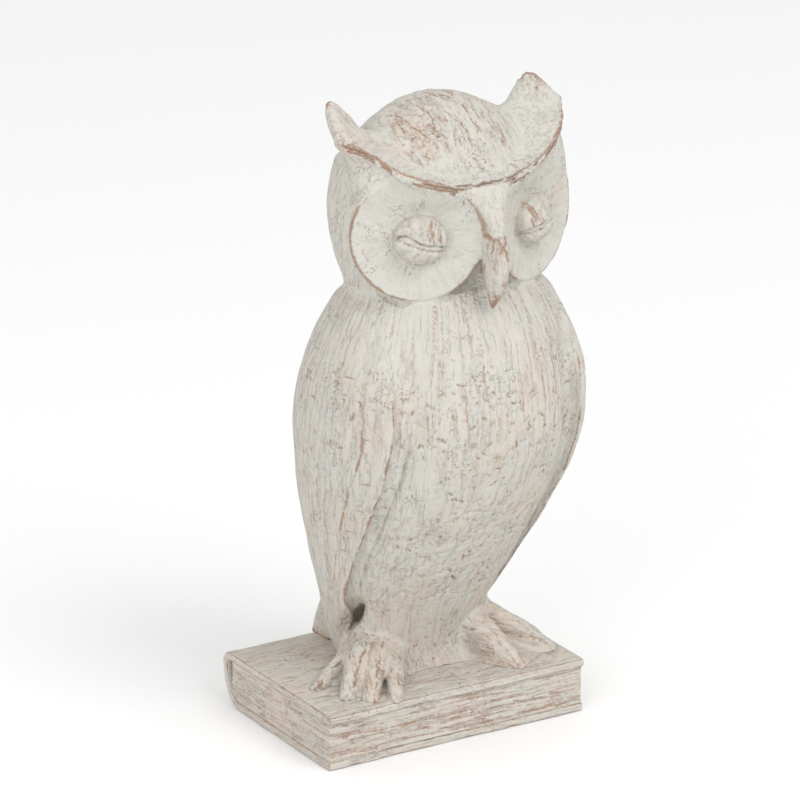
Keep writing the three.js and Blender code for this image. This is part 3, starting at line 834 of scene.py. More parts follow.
def edge_marks():
    """The worn line just behind a wing's front edge, broken and crossed by a few short marks."""
    spots = [(9.5, 172), (9, 160), (8.6, 148), (9.4, 138), (11, 128), (11.5, 116), (12.5, 104), (13, 92)]
    spots = np.array(spots + [(14.5, 80), (17, 66)], float)
    marks = [(spots[i : i + 2], 0.45, 0.4, 0.85 if i % 3 else 0.45, 0.1) for i in range(len(spots) - 1)]
    for place, reach in ((132.5, 8.6), (117.5, 9.5), (105, 11), (93, 12)):
        path = np.array([(4.5, place), (6.5, place + 0.8), (reach, place + 0.2)])
        marks.append((path, 0.42, 0.35, 0.8, 0.1))
    return marks


def carve_tail(owl):
    p = owl.points
    x, y, z = p.T
    tail = owl.mask("tail")
    flow = np.stack([x, y, z / 14], 1)
    owl.depth += tail * 0.22 * noise(flow, (2.6, 2.6, 1.5), 41)
    feather = line(np.sin(x / 9.0 * np.pi), 0.2)
    owl.carve(0.5 * tail * feather, brown=0.6 * tail * feather)


def carve_skull(owl):
    p = owl.points
    x, y, z = p.T
    skull = owl.mask("skull")
    flow = np.stack([x, y + 0.25 * z, z / 8], 1)
    owl.set_flow(skull, flow)
    owl.depth += skull * (0.09 * noise(flow, (2.6, 2.6, 1.6), 51) + 0.08 * noise(flow, (5, 5, 2), 52))
    u = np.arctan2(x, -(y + 19)) * 44
    owl.stamp(skull, u, z, strokes(
        231, 330, (-140, 140, 205, 270), (2, 11), 12, 16, 0.4, (0.42, 0.65), (0.1, 0.3), (0.1, 0.6)))


def carve_crown(owl):
    """Broken bark-like strokes from the back of the head to a smooth band behind the brow."""
    p = owl.points
    crown = owl.mask("crown")
    y, z = p[:, 1] - DOME_CENTRE[1], p[:, 2] - DOME_CENTRE[2]
    turn = np.arctan2(z, -y)
    flow = np.stack([p[:, 0] + 6 * np.sin(turn * 1.5), np.hypot(y, z), turn * 45 / 7], 1)
    owl.set_flow(crown, flow)
    inset = owl.rim[0]
    band = smoothstep(9, 14.5, inset + 1.6 * noise(p, 7, 61))
    bark = crown * band * smoothstep(-38, -26, -np.abs(p[:, 0]))
    front = smoothstep(2.4, 1.5, turn)
    u, v = p[:, 0] + 5 * np.sin(turn * 1.5), turn * 45
    relief = 0.3 * noise(flow, (3.0, 6, 1.6), 62) + 0.16 * noise(flow, (1.8, 4, 0.9), 64)
    owl.depth += bark * relief * (0.5 + 0.5 * front)
    owl.stamp(bark * (0.5 + 0.5 * front), u, v, strokes(
        241, 360, (-40, 40, 22, 125), (2.5, 9), -6, 11, 0.5, (0.42, 0.62), (0.25, 0.6), (0.2, 0.75)))
    owl.stamp(bark, u, v, strokes(
        242, 120, (-24, 26, 26, 78), (3, 11), -6, 12, 0.6, (0.42, 0.62), (0.4, 0.7), (0.5, 0.95)))
    owl.stamp(bark, u, v, strokes(
        243, 60, (-24, 26, 26, 78), (1.2, 2.6), 70, 25, 0.4, (0.4, 0.6), (0.3, 0.55), (0.4, 0.9)))
    owl.depth += 0.1 * crown * (1 - band) * noise(flow, (4, 6, 2), 65)


def carve_brow(owl):
    """The rim is crumbly and worn down to the brown."""
    p = owl.points
    x, y, z = p.T
    inset, rise, past = owl.rim
    rim = smoothstep(3.4, 0.8, inset) * smoothstep(-6.5, -3.8, rise) * smoothstep(2.5, 0.9, rise)
    rim *= smoothstep(4, -3, past) * smoothstep(-4, -2, inset)
    middle = smoothstep(34, 8, np.abs(x))
    crumble = fractal(p, (2.2, 2.2, 1.5), 71, 2)
    owl.depth += rim * (0.45 + 0.35 * middle) * crumble
    wave = 0.5 * noise(p, 6, 72) + 0.3 * noise(p, 2.2, 73)
    ledges = ((0.25, 0.85, 0.65, 74), (-1.3, 1.2, 0.95, 75), (-2.8, 1.0, 0.8, 76))
    for level, strength, width, seed in ledges:
        broken = smoothstep(-0.45, 0.15, noise(p, 4.5, seed) + 0.5 * middle)
        ledge = line(rise - level + wave, width) * rim * broken
        owl.carve(0.5 * ledge, brown=strength * ledge, grey=(0.25 + 0.6 * middle) * ledge)
    wear = rim * middle * smoothstep(0.9, -0.6, rise) * smoothstep(-0.35, 0.35, crumble)
    owl.carve(0.1 * wear, brown=1.25 * wear, grey=0.7 * wear)


# The closed lids meet in a lens that dips towards the beak: place across, upper and lower edge.
LIDS = [
    (-12.4, -4.6, -4.8), (-9.9, -2.3, -4.9), (-7.6, -1.5, -4.2), (-5.4, -1.0, -3.5), (-2.2, -0.3, -2.7),
    (0, 0.4, -2.0), (4.1, 2.9, -0.6), (7.1, 4.1, 0.4), (9.5, 3.6, 1.4), (12, 1.9, 1.6),
]


def carve_discs(owl):
    for side, word in SIDES:
        across, into, up = disc_coords(Rows(owl.points), side)
        radius, angle = np.hypot(across, up), np.arctan2(up, across)
        disc = owl.mask(word + "_face_disc", rounds=3)
        eye = owl.mask(word + "_eye", rounds=3)
        flow = np.stack([np.cos(angle) * 17, np.sin(angle) * 17, radius / 6], 1)
        owl.set_flow(disc, flow)
        ray = noise(flow, (0.95, 0.95, 1.6), 81 + side)
        owl.depth += disc * 0.055 * ray * smoothstep(9.5, 13, radius) * smoothstep(29, 24, radius)
        owl.stamp(disc * smoothstep(10.5, 12, radius), angle * 18, radius, strokes(
            250 + side, 190, (-57, 57, 12, 22), (4, 12), 0, 3, 0.15,
            (0.3, 0.42), (0.05, 0.13), (0.15, 0.5)))
        owl.stamp(disc, angle * 18, radius, strokes(
            254 + side, 110, (-57, 57, 18, 28), (3, 9), 0, 4, 0.15, (0.3, 0.42), (0.04, 0.12), (0.1, 0.45)))
        lip = line(radius - DISC_RADIUS + 0.9, 1.0) * smoothstep(-6, -1, -into) * (into < 4)
        outer = across > 0
        free = np.where(outer, smoothstep(-27, -22, -up), smoothstep(-20, -12, -up)) * (across > -24)
        skirt = line(radius - DISC_RADIUS - 2.2, 1.3) * (into > 0.3) * (into < 9) * free
        owl.depth -= 0.45 * lip * free
        # painted shade: the groove just outside the disc's rim is greyed as shade under the rim
        owl.carve(0.9 * skirt * (1 - eye), grey=0.5 * skirt)
        rough = noise(owl.points, 4.5, 89) + 0.5 * noise(owl.points, 1.8, 90)
        worn = line(radius - DISC_RADIUS + 0.5 + 0.35 * rough, 0.55) * (into < 4) * free
        worn *= smoothstep(-0.75, 0.15, rough) * (0.5 + 0.4 * smoothstep(-0.5, 0.9, np.cos(angle + 0.3)))
        owl.carve(0.35 * worn, brown=0.85 * worn, grey=0.6 * worn * smoothstep(0.0, 0.6, rough))
        under = line(radius - DISC_RADIUS - 0.9 - 0.4 * rough, 0.8) * free * (into > -0.5) * (into < 6)
        under *= smoothstep(1.1, 0.4, np.abs(angle + 0.75)) * smoothstep(-0.3, 0.3, rough)
        owl.carve(0.2 * under, brown=0.8 * under, grey=0.7 * under)
        carve_lids(owl, across + EYE_SHIFT[side], into, up + EYE_DROP, eye, 261 if side < 0 else 265)


def carve_lids(owl, across, into, up, eye, seed):
    lids = hermite(LIDS, across) - 0.5
    upper, lower = lids[:, 0], lids[:, 1]
    owl.lid_split[eye > 0.3] = (up - (upper + lower) / 2)[eye > 0.3]
    between = smoothstep(-0.3, 0.3, upper - up) * smoothstep(-0.3, 0.3, up - lower)
    between *= (across > -12) * (across < 12) * eye
    ends = smoothstep(12.6, 11.4, np.abs(across)) * eye
    crease = line(up - upper, 0.8) * ends
    seam = line(up - lower, 0.7) * ends
    broken = 0.7 + 0.3 * noise(owl.points, 3, 94)
    # painted shade: the recessed band between the closed lids is greyed as well as sunk
    owl.carve(0.7 * between, grey=0.3 * between)
    owl.carve(1.3 * crease, brown=1.0 * crease * broken, grey=0.7 * crease * broken)
    owl.carve(0.9 * seam, brown=0.9 * seam * broken, grey=0.5 * seam)
    rim = line(np.hypot(across / 12.3, up / 11.3) - 1.0, 0.06) * (into > -3.5)
    owl.carve(0.25 * rim, brown=0.45 * rim * smoothstep(-0.2, 0.4, noise(owl.points, 3, 93)))
    above = eye * smoothstep(0.2, 1.2, up - upper)
    below = eye * smoothstep(0.2, 1.2, lower - up)
    flow = np.stack([across, into, up / 8], 1)
    slanted = np.stack([up + 0.45 * across, into, (across - 0.45 * up) / 8], 1)
    owl.set_flow(above, flow)
    owl.set_flow(below, slanted)
    owl.depth += above * 0.16 * noise(flow, (1.7, 4, 1.0), 91)
    owl.depth += below * 0.08 * noise(slanted, (1.5, 4, 1.0), 92)
    owl.stamp(above, across, up, strokes(
        seed, 34, (-9.5, 9, -1, 9), (2.5, 6), -6, 8, 0.25, (0.4, 0.55), (0.2, 0.4), (0.2, 0.6)))
    owl.stamp(above * smoothstep(2, -5, across), across, up, strokes(
        seed + 1, 22, (-9.5, 0, -1, 8), (2.5, 6), -8, 8, 0.3, (0.42, 0.62), (0.25, 0.45), (0.6, 0.95)))
    owl.stamp(below, across, up, strokes(
        seed + 2, 34, (-9.5, 9.5, -10, -3), (2.5, 6), -58, 10, 0.25, (0.4, 0.55), (0.2, 0.35), (0.25, 0.7)))


def carve_beak(owl):
    p = owl.points
    x, y, z = p.T
    beak = owl.mask("beak", rounds=3)
    bridge = owl.mask("nasal_bridge", rounds=3)
    flow = np.stack([x, y, (z + 0.3 * x) / 7], 1)
    owl.set_flow(beak + bridge, flow)
    stroke = noise(flow, (1.9, 2.4, 1.1), 101)
    owl.depth += beak * 0.38 * stroke + bridge * 0.1 * stroke
    u = np.arctan2(x, -(y + 68)) * 4.5
    owl.stamp(beak, u, z, strokes(
        271, 60, (-11, 11, 210, 246), (4, 15), 4, 7, 0.4, (0.4, 0.62), (0.3, 0.6), (0.3, 0.95)))
    owl.stamp(bridge, u, z, strokes(
        272, 30, (-9, 9, 240, 262), (3, 9), 4, 9, 0.3, (0.4, 0.6), (0.12, 0.3), (0.2, 0.55)))
    owl.carve(0, brown=beak * (0.26 + 0.2 * smoothstep(222, 212, z)))
    ridge = line(x + np.interp(z, [240, 249, 256, 262], [3.4, 4.7, 7.4, 12]), 0.8)
    ridge *= smoothstep(263, 259, z) * smoothstep(240, 244, z) * (y < -60)
    owl.carve(0, brown=0.75 * ridge)


def carve_tufts(owl):
    p = owl.points
    x, y, z = p.T
    for side, word in SIDES:
        tuft = owl.mask(word + "_ear_tuft")
        flow = np.stack([x, y - 0.6 * z, z / 9], 1)
        owl.set_flow(tuft, flow)
        stroke = noise(flow, (2.0, 2.0, 1.3), 111)
        owl.depth += tuft * 0.22 * stroke
        slant = x * side * 0.7 - y * 0.7
        owl.stamp(tuft, slant, z, strokes(
            281 + side, 46, (38, 74, 272, 300), (3, 11), -8, 8, 0.35, (0.4, 0.6), (0.2, 0.4), (0.15, 0.65)))
        tip = tuft * smoothstep(288, 295, z) * (1.0 if side > 0 else 0.35)
        crumble = fractal(p, 2.4, 113, 2)
        owl.depth += tip * 0.45 * crumble
        crack = line(noise(p, 3.6, 114), 0.16) * smoothstep(0.0, 0.3, noise(p, 4, 115)) * tip
        owl.carve(0.6 * crack, brown=crack, grey=0.7 * crack)
        owl.carve(0, brown=tip * line(crumble, 0.2) * 0.7)


def carve_feet(owl):
    p = owl.points
    for side, word, toes in ((-1, "left", LEFT_TOES), (1, "right", RIGHT_TOES)):
        foot = owl.mask(word + "_foot", rounds=4)
        x, y = p[:, 0] - side * 22, p[:, 1] + 4
        angle, out = np.arctan2(y, x), p[:, 2] * 0.7 + np.hypot(x, y)
        flow = np.stack([np.cos(angle) * 17, np.sin(angle) * 17, out / 8], 1)
        stroke = noise(flow, (2.6, 2.6, 1.6), 121)
        owl.depth += foot * 0.16 * stroke
        owl.stamp(foot, angle * 15, out, strokes(
            320 + side, 150, (-47, 47, 25, 60), (3, 11), 0, 14, 0.4, (0.38, 0.55), (0.2, 0.5), (0.15, 0.7)))
        for number, (name, (tip, root, _, _)) in enumerate(toes.items()):
            toe = owl.mask(name, rounds=3)
            heading = np.array([side * (tip[0] - root[0]), tip[1] - root[1]], float)
            heading /= np.linalg.norm(heading)
            along = p[:, 0] * heading[0] + p[:, 1] * heading[1]
            sideways = -p[:, 0] * heading[1] + p[:, 1] * heading[0]
            flow = np.stack([sideways, p[:, 2], along / 7], 1)
            owl.set_flow(toe, flow)
            stroke = noise(flow, (2.3, 2.3, 1.5), 123 + number)
            owl.depth += toe * 0.14 * stroke
            centre = np.array([side * (tip[0] + root[0]) / 2, (tip[1] + root[1]) / 2])
            aside = sideways - (-centre[0] * heading[1] + centre[1] * heading[0]) + 0.8 * (p[:, 2] - 32)
            far = along - centre @ heading
            owl.stamp(toe, aside, far, strokes(
                300 + 10 * side + number, 42, (-9, 9, -18, 20), (3, 10), 0, 12, 0.4,
                (0.38, 0.55), (0.2, 0.5), (0.15, 0.7)))


def carve_toe_edges(owl):
    """Brown lines run down both flanks of each toe."""
    p = owl.points
    x, y, z = p.T
    for side, toes in ((-1, LEFT_TOES), (1, RIGHT_TOES)):
        for number, (name, (tip, root, girth, _)) in enumerate(toes.items()):
            toe = owl.mask(name, rounds=3)
            start, end = np.array([side * root[0], root[1]]), np.array([side * tip[0], tip[1]])
            heading = (end - start) / np.linalg.norm(end - start)
            aside = (x - start[0]) * heading[1] - (y - start[1]) * heading[0]
            far = (p[:, :2] - start) @ heading / np.linalg.norm(end - start)
            wander = 0.6 * noise(p, 5, 181 + number) + 0.5 * noise(p, 1.8, 191 + number)
            for flank, strength in ((-1, 1.0), (1, 0.6)):
                edge = line(aside * flank - (0.55 - 0.2 * far) * girth + wander, 0.55)
                edge *= toe * smoothstep(0.15, 0.4, far) * strength
                edge *= smoothstep(-0.5, 0.1, noise(p, 4, 201 + number) + 0.5 * noise(p, 1.6, 211))
                owl.carve(0.3 * edge, brown=0.9 * edge, grey=0.3 * edge)


def calm_seams(owl):
    """0 where the stroke coordinates jump from one part's to another's, so no seam shows."""
    near = owl.near
    jump = np.abs(owl.flow[near.a] - owl.flow[near.b]).max(axis=1) > 3.0
    torn = np.zeros(near.count)
    torn[near.a[jump]] = 1
    torn[near.b[jump]] = 1
    calm = 1 - np.clip(near.smooth(torn, 2) * 2.5, 0, 1)
    return calm * (1 - 0.6 * owl.mask("left_face_disc", "right_face_disc"))


def finish_paint(owl):
    """Wear on every edge, painted shade in crevices and in the low hollows beside the feet, lumps all over
    and a faint blush low down.
    """
    p = owl.points
    x, y, z = p.T
    recess = smoothstep(0.05, 0.32, owl.depth) * smoothstep(0.75, 0.45, owl.depth)
    owl.carve(0, brown=0.5 * recess)
    # painted highlight: brown is lifted off the wing's front crest so it reads as a lit ridge
    owl.brown *= 1 - 0.75 * owl.crest
    owl.depth += noise(p, 13, 131) * 0.28 + noise(p, 6, 132) * 0.13
    spot = noise(p, 4.5, 133) + 0.6 * noise(p, 1.9, 134)
    toes = owl.mask(*LEFT_TOES, *RIGHT_TOES, "left_foot", "right_foot", rounds=4)
    tips = toes * smoothstep(BOOK_TOP + 11, BOOK_TOP + 7, z)
    edge = smoothstep(0.3, 0.55, owl.edge + 0.14 * spot) * (1 - tips)
    edge *= 1 - 0.6 * owl.mask("beak", rounds=3) * smoothstep(0.3, -0.3, spot)
    edge *= np.maximum(smoothstep(BOOK_TOP + 1, BOOK_TOP + 4, z), y > 2)
    # painted shade: concave creases, found from the blurred solid, are greyed in place of ambient occlusion
    crease = smoothstep(0.3, 0.95, owl.hollow + 0.06 * spot)
    owl.carve(0, brown=0.8 * edge, grey=0.6 * crease)
    # painted shade: the deep hollows low on the sides, above the feet, are darkened strongly
    shade_under_body = smoothstep(66, 58, z) * smoothstep(0.45, 0.9, owl.hollow) * (np.abs(x) > 28)
    owl.carve(0, grey=1.3 * shade_under_body * (1 - toes))
    low = smoothstep(75, 40, z)
    owl.blush = 0.9 * low * smoothstep(-0.5, 0.5, noise(p, 14, 135))
    patches = smoothstep(0.15, 0.7, noise(p, 19, 136) + 0.3 * noise(p, 6, 137))
    owl.blush = np.maximum(owl.blush, 0.7 * patches)


def carved_owl():
    sculpt_body()
    sculpt_head()
    sculpt_feet()
    owl = Owl()
    work = (
        carve_torso, carve_pits, carve_wings, carve_tail, carve_skull, carve_crown, carve_brow,
        carve_discs, carve_beak, carve_tufts, carve_feet, carve_toe_edges, finish_paint,
    )
    for carve in work:
        carve(owl)
    owl.points = owl.points - owl.normals * owl.depth[:, None]
    return owl


# ---- Meshes -------------------------------------------------------------------------------


def paint_attribute(mesh, name, values):
    kind = "FLOAT_VECTOR" if values.ndim == 2 else "FLOAT"
    layer = mesh.attributes.new(name, kind, "POINT")
    layer.data.foreach_set("vector" if values.ndim == 2 else "value", values.astype(np.float32).ravel())


def make_mesh(name, points, quads, normals, layers):
    mesh = bpy.data.meshes.new(name)
    mesh.vertices.add(len(points))
    mesh.vertices.foreach_set("co", (points * MM).astype(np.float32).ravel())
    mesh.loops.add(len(quads) * 4)
    mesh.loops.foreach_set("vertex_index", quads.astype(np.int32).ravel())
    mesh.polygons.add(len(quads))
    mesh.polygons.foreach_set("loop_start", np.arange(0, len(quads) * 4, 4, dtype=np.int32))
    mesh.update(calc_edges=True)
    mesh.polygons.foreach_set("use_smooth", np.ones(len(quads), bool))
    mesh.normals_split_custom_set_from_vertices(normals)
    for layer, values in layers.items():
        paint_attribute(mesh, layer, values)
    piece = bpy.data.objects.new(name + "_skin", mesh)
    bpy.context.scene.collection.objects.link(piece)
    return piece


def split(name_of, shares, points, normals, quads, layers):
    """Cuts a skin into named pieces; each face goes to the largest of its corners' shares."""
    total = sum(shares[:, quads[:, corner]] for corner in range(4))
    chosen = total.argmax(axis=0)
    pieces = {}
    for number, name in enumerate(name_of):
        faces = quads[chosen == number]
        if not len(faces):
            continue
        used, faces = np.unique(faces, return_inverse=True)
        faces = faces.reshape(-1, 4)
        kept = {key: values[used] for key, values in layers.items()}
        pieces[name] = make_mesh(name, points[used], faces, normals[used], kept)
    return pieces


def part_shares(owl):
    """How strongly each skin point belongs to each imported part, softened so that borders run clean."""
    names, shares = [], []
    for number, label in enumerate(LABEL_NAMES):
        share = owl.near.smooth((owl.label == number).astype(float), 5)
        if label.endswith("_eye"):
            side = label[: -len("_eye")]
            names += [side + "_upper_eyelid", side + "_lower_eyelid"]
            shares += [share * (owl.lid_split > 0), share * (owl.lid_split <= 0)]
        else:
            names.append(label)
            shares.append(share)
    return names, np.array(shares)


# ---- Materials ----------------------------------------------------------------------------


class Nodes:
    """A short way to write a material's node tree."""

    def __init__(self, name):
        self.material = bpy.data.materials.new(name)
        self.material.use_nodes = True
        self.tree = self.material.node_tree
        self.shader = self.tree.nodes["Principled BSDF"]

    def add(self, kind, **settings):
        node = self.tree.nodes.new(kind)
        for key, value in settings.items():
            setattr(node, key, value)
        return node

    def link(self, source, target):
        self.tree.links.new(source, target)

    def feed(self, socket, value):
        if isinstance(value, bpy.types.NodeSocket):
            self.link(value, socket)
        else:
            socket.default_value = value

    def attribute(self, name, vector=False):
        node = self.add("ShaderNodeAttribute", attribute_name=name)
        return node.outputs["Vector" if vector else "Fac"]

    def math(self, operation, a, b=0.0):
        node = self.add("ShaderNodeMath", operation=operation)
        self.feed(node.inputs[0], a)
        self.feed(node.inputs[1], b)
        return node.outputs[0]

    def plus(self, a, b):
        return self.math("ADD", a, b)

    def minus(self, a, b):
        return self.math("SUBTRACT", a, b)

    def times(self, a, b):
        return self.math("MULTIPLY", a, b)

    def ramp(self, value, low, high, out_low=0.0, out_high=1.0):
        node = self.add("ShaderNodeMapRange", interpolation_type="SMOOTHSTEP")
        self.feed(node.inputs["Value"], value)
        limits = {"From Min": low, "From Max": high, "To Min": out_low, "To Max": out_high}
        for socket, limit in limits.items():
            node.inputs[socket].default_value = limit
        return node.outputs["Result"]

    def contour(self, value, level, width):
        """1 along the lines where the value crosses a level."""
        away = self.math("ABSOLUTE", self.minus(value, level))
        return self.ramp(away, 0.0, width, 1, 0)

    def noise(self, vector, scale, detail=2.0, roughness=0.5, squash=(1, 1, 1), shift=(0, 0, 0)):
        mapping = self.add("ShaderNodeMapping")
        self.link(vector, mapping.inputs["Vector"])
        mapping.inputs["Scale"].default_value = squash
        mapping.inputs["Location"].default_value = shift
        node = self.add("ShaderNodeTexNoise")
        self.link(mapping.outputs[0], node.inputs["Vector"])
        node.inputs["Scale"].default_value = scale
        node.inputs["Detail"].default_value = detail
        node.inputs["Roughness"].default_value = roughness
        return node.outputs["Fac"]

    def mix(self, share, a, b):
        node = self.add("ShaderNodeMix", data_type="RGBA")
        self.feed(node.inputs["Factor"], share)
        self.feed(node.inputs["A"], a)
        self.feed(node.inputs["B"], b)
        return node.outputs["Result"]


def screen(*colour):
    """A shader's colour from one given as it looks on screen."""
    return tuple(((c / 255 + 0.055) / 1.055) ** 2.4 for c in colour) + (1,)


PAINT = screen(203, 201, 193)
PAINT_SHADE = screen(192, 190, 182)
PAINT_COOL = screen(183, 185, 179)
PAINT_WARM = screen(203, 181, 163)
STAIN = screen(160, 120, 95)
STAIN_DARK = screen(118, 86, 67)
STAIN_ORANGE = screen(180, 128, 94)
STAIN_DEEP_AND_SHADE = screen(78, 62, 52)
DIRT_AND_SHADE = screen(96, 90, 80)


def whitewash(name, wear=0.0):
    """Chalky paint that wear, cracks and crevices open down to brown; the grey layer darkens it towards
    grime and painted shade.
    """
    n = Nodes(name)
    flow = n.attribute("flow", vector=True)
    brown, grey, blush, calm = (n.attribute(key) for key in ("brown", "grey", "blush", "calm"))
    place = n.add("ShaderNodeTexCoord").outputs["Object"]
    grain = n.noise(place, 1500, 2, 0.6)
    fine = n.noise(place, 640, 3, 0.6)
    mottle = n.noise(place, 170, 4, 0.6)
    cloud = n.noise(place, 38, 3, 0.5)
    hair = n.noise(flow, 1.3, 3, 0.62, squash=(1, 1, 0.6))
    hair = n.plus(n.times(n.minus(hair, 0.5), calm), 0.5)
    gaps = n.times(n.ramp(n.noise(flow, 0.55, 2, 0.6, shift=(31, 17, 5)), 0.42, 0.62), calm)
    threads = n.times(n.contour(hair, 0.5, 0.03), gaps)
    worms = n.noise(place, 300, 2, 0.55)
    clusters = n.times(n.ramp(n.noise(place, 62, 3, 0.6), 0.5, 0.62), n.ramp(fine, 0.42, 0.56))
    curls = n.times(n.contour(worms, 0.52, 0.02), clusters)

    paint = n.mix(cloud, PAINT_SHADE, PAINT)
    paint = n.mix(n.ramp(mottle, 0.4, 0.7, 0, 0.4), paint, PAINT_COOL)
    paint = n.mix(n.times(blush, n.ramp(mottle, 0.3, 0.65, 0.1, 0.5)), paint, PAINT_WARM)
    paint = n.mix(n.ramp(hair, 0.5, 0.36, 0, 0.3), paint, PAINT_WARM)
    stain = n.mix(n.ramp(fine, 0.35, 0.65), STAIN_DARK, STAIN)
    stain = n.mix(n.ramp(cloud, 0.5, 0.75, 0, 0.45), stain, STAIN_ORANGE)
    # grime and painted shade: the grey layer darkens the bare brown towards its darkest
    stain = n.mix(n.times(grey, 0.7), stain, STAIN_DEEP_AND_SHADE)
    reach = n.plus(brown, n.times(n.minus(fine, 0.5), 1.0))
    reach = n.plus(reach, n.times(n.minus(hair, 0.5), 0.5))
    reach = n.plus(reach, wear)
    bare = n.ramp(reach, 0.28, 0.95, 0, 0.86)
    lines = n.math("MAXIMUM", n.times(threads, 0.36), n.times(curls, 0.75))
    bare = n.math("MAXIMUM", bare, lines)
    # grime and painted shade: the grey layer darkens the paint towards a dark grey
    sunk = n.plus(grey, n.times(n.minus(mottle, 0.5), 0.5))
    dirt_and_shade = n.ramp(sunk, 0.45, 1.35, 0, 0.85)
    colour = n.mix(dirt_and_shade, paint, DIRT_AND_SHADE)
    colour = n.mix(bare, colour, stain)
    n.link(colour, n.shader.inputs["Base Color"])
    n.link(n.ramp(fine, 0.2, 0.8, 0.78, 0.95), n.shader.inputs["Roughness"])
    n.shader.inputs["Specular IOR Level"].default_value = 0.25

    height = n.plus(n.times(hair, 0.08), n.times(fine, 0.6))
    height = n.plus(height, n.times(grain, 0.16))
    height = n.minus(height, n.times(threads, 0.05))
    height = n.minus(height, n.times(curls, 0.3))
    height = n.minus(height, n.times(bare, 0.25))
    bump = n.add("ShaderNodeBump")
    bump.inputs["Distance"].default_value = 0.001
    bump.inputs["Strength"].default_value = 0.85
    n.link(height, bump.inputs["Height"])
    n.link(bump.outputs["Normal"], n.shader.inputs["Normal"])
    return n.material


# ---- Book ---------------------------------------------------------------------------------

COVER_THICKNESS = 4.2
PAGE_FRONT, PAGE_BACK = -46.2, 40.5
PAGE_LOW, PAGE_HIGH = 4.0, 22.0
BOOK_HALF = (BOARD_HIGH[0] - BOARD_LOW[0]) / 2
FORE_EDGE = BOARD_LOW[1]
SPINE_START, SPINE_END, SPINE_BACK, SPINE_MIDDLE = 40.5, 33, 48, 18.5


def spaced(low, high, step, margin=1.2):
    """Places from low to high, close together near both ends."""
    ends = np.array([0, 0.22, 0.45, 0.7, 0.95]) * margin
    inner = np.linspace(low + margin, high - margin, max(2, int((high - low - 2 * margin) / step)))
    return np.concatenate([low + ends, inner, (high - ends)[::-1]])


def box_surface(a, b, c):
    """The six faces of a box over three rows of places, as shared points and quads."""
    rows, quads, base = [], [], 0
    sizes = (len(a), len(b), len(c))
    for axis in range(3):
        first, second = [i for i in range(3) if i != axis]
        for end in (0, sizes[axis] - 1):
            i, j = np.meshgrid(np.arange(sizes[first]), np.arange(sizes[second]), indexing="ij")
            index = np.zeros(i.shape + (3,), int)
            index[..., first], index[..., second], index[..., axis] = i, j, end
            number = base + np.arange(i.size).reshape(i.shape)
            face = np.stack([number[:-1, :-1], number[1:, :-1], number[1:, 1:], number[:-1, 1:]], -1)
            outward = (end > 0) == (axis != 1)
            face = face.reshape(-1, 4)
            quads.append(face if outward else face[:, ::-1])
            rows.append(index.reshape(-1, 3))
            base += i.size
    index, quads = np.concatenate(rows), np.concatenate(quads)
    unique, inverse = np.unique(index, axis=0, return_inverse=True)
    points = np.stack([a[unique[:, 0]], b[unique[:, 1]], c[unique[:, 2]]], 1)
    return points, inverse.reshape(-1)[quads]


def rounded(points, radius):
    """The box's points with its edges rounded, and how close each is to an edge."""
    low, high = points.min(0) + radius, points.max(0) - radius
    core = np.clip(points, low, high)
    away = points - core
    length = np.linalg.norm(away, axis=1, keepdims=True)
    outer = np.abs(away).max(axis=1)
    nearness = np.sort(np.abs(away), axis=1)[:, 1]
    return core + away / np.maximum(length, 1e-9) * np.maximum(outer[:, None], 1e-9), nearness / radius


def cover_curve():
    """The outside of the cover in depth and height, from the fore-edge round the spine and back."""
    t = np.linspace(0, 1, 24)[:, None]
    turn = bezier(((SPINE_START, BOOK_TOP), (SPINE_BACK, BOOK_TOP), (SPINE_BACK, SPINE_MIDDLE)), t)
    down = bezier(((SPINE_BACK, SPINE_MIDDLE), (SPINE_BACK, 9), (43, 0), (SPINE_END, 0)), t)
    return np.concatenate([[(FORE_EDGE, BOOK_TOP)], turn, down[1:], [(FORE_EDGE + 0.9, 0)]])


def along_curve(curve, places):
    """Points and outward normals of a curve at distances along it."""
    step = np.diff(curve, axis=0)
    at = np.concatenate([[0], np.cumsum(np.linalg.norm(step, axis=1))])
    fine = np.linspace(0, at[-1], 800)
    spots = np.stack([np.interp(fine, at, curve[:, i]) for i in range(2)], 1)
    tangent = np.gradient(spots, axis=0)
    kernel = np.ones(9) / 9
    wide = [np.pad(tangent[:, i], 4, "edge") for i in range(2)]
    tangent = np.stack([np.convolve(row, kernel, "valid") for row in wide], 1)
    tangent /= np.linalg.norm(tangent, axis=1, keepdims=True)
    point = np.stack([np.interp(places, fine, spots[:, i]) for i in range(2)], 1)
    normal = np.stack([np.interp(places, fine, -tangent[:, 1]), np.interp(places, fine, tangent[:, 0])], 1)
    return point, normal, at[-1]


class Slab:
    """A piece of the book, with the same layers as the owl's skin."""

    stamp = Owl.stamp
    carve = Owl.carve

    def __init__(self, points, quads, nearness):
        self.points, self.quads = points, quads
        self.normals = vertex_normals(points, quads)
        self.wear = nearness
        self.depth, self.brown, self.grey, self.blush = (np.zeros(len(points)) for _ in range(4))

    def finish(self, names, shares, seed):
        p = self.points
        spot = noise(p, 5, seed) + 0.6 * noise(p, 1.9, seed + 1)
        self.carve(0, brown=0.52 * smoothstep(0.05, 0.32, self.depth))
        edge = smoothstep(0.25, 0.75, self.wear + 0.4 * spot)
        self.carve(0, brown=0.85 * edge)
        self.depth += edge * (0.25 + 0.3 * noise(p, 3, seed + 2))
        self.depth += 0.2 * noise(p, 11, seed + 3)
        self.blush = np.clip(0.45 + 0.5 * noise(p, 16, seed + 4), 0, 1)
        points = p - self.normals * self.depth[:, None]
        points[:, 2] = np.maximum(points[:, 2], 0)
        layers = {key: np.clip(getattr(self, key), 0, 1) for key in ("brown", "grey", "blush")}
        layers["flow"] = self.flow
        layers["calm"] = np.ones(len(p))
        normals = vertex_normals(points, self.quads)
        return split(names, shares, points, normals, self.quads, layers)


COVER_MARKS = [(-40, -20), (-30, 10), (-38, 45), (-20, -50)]


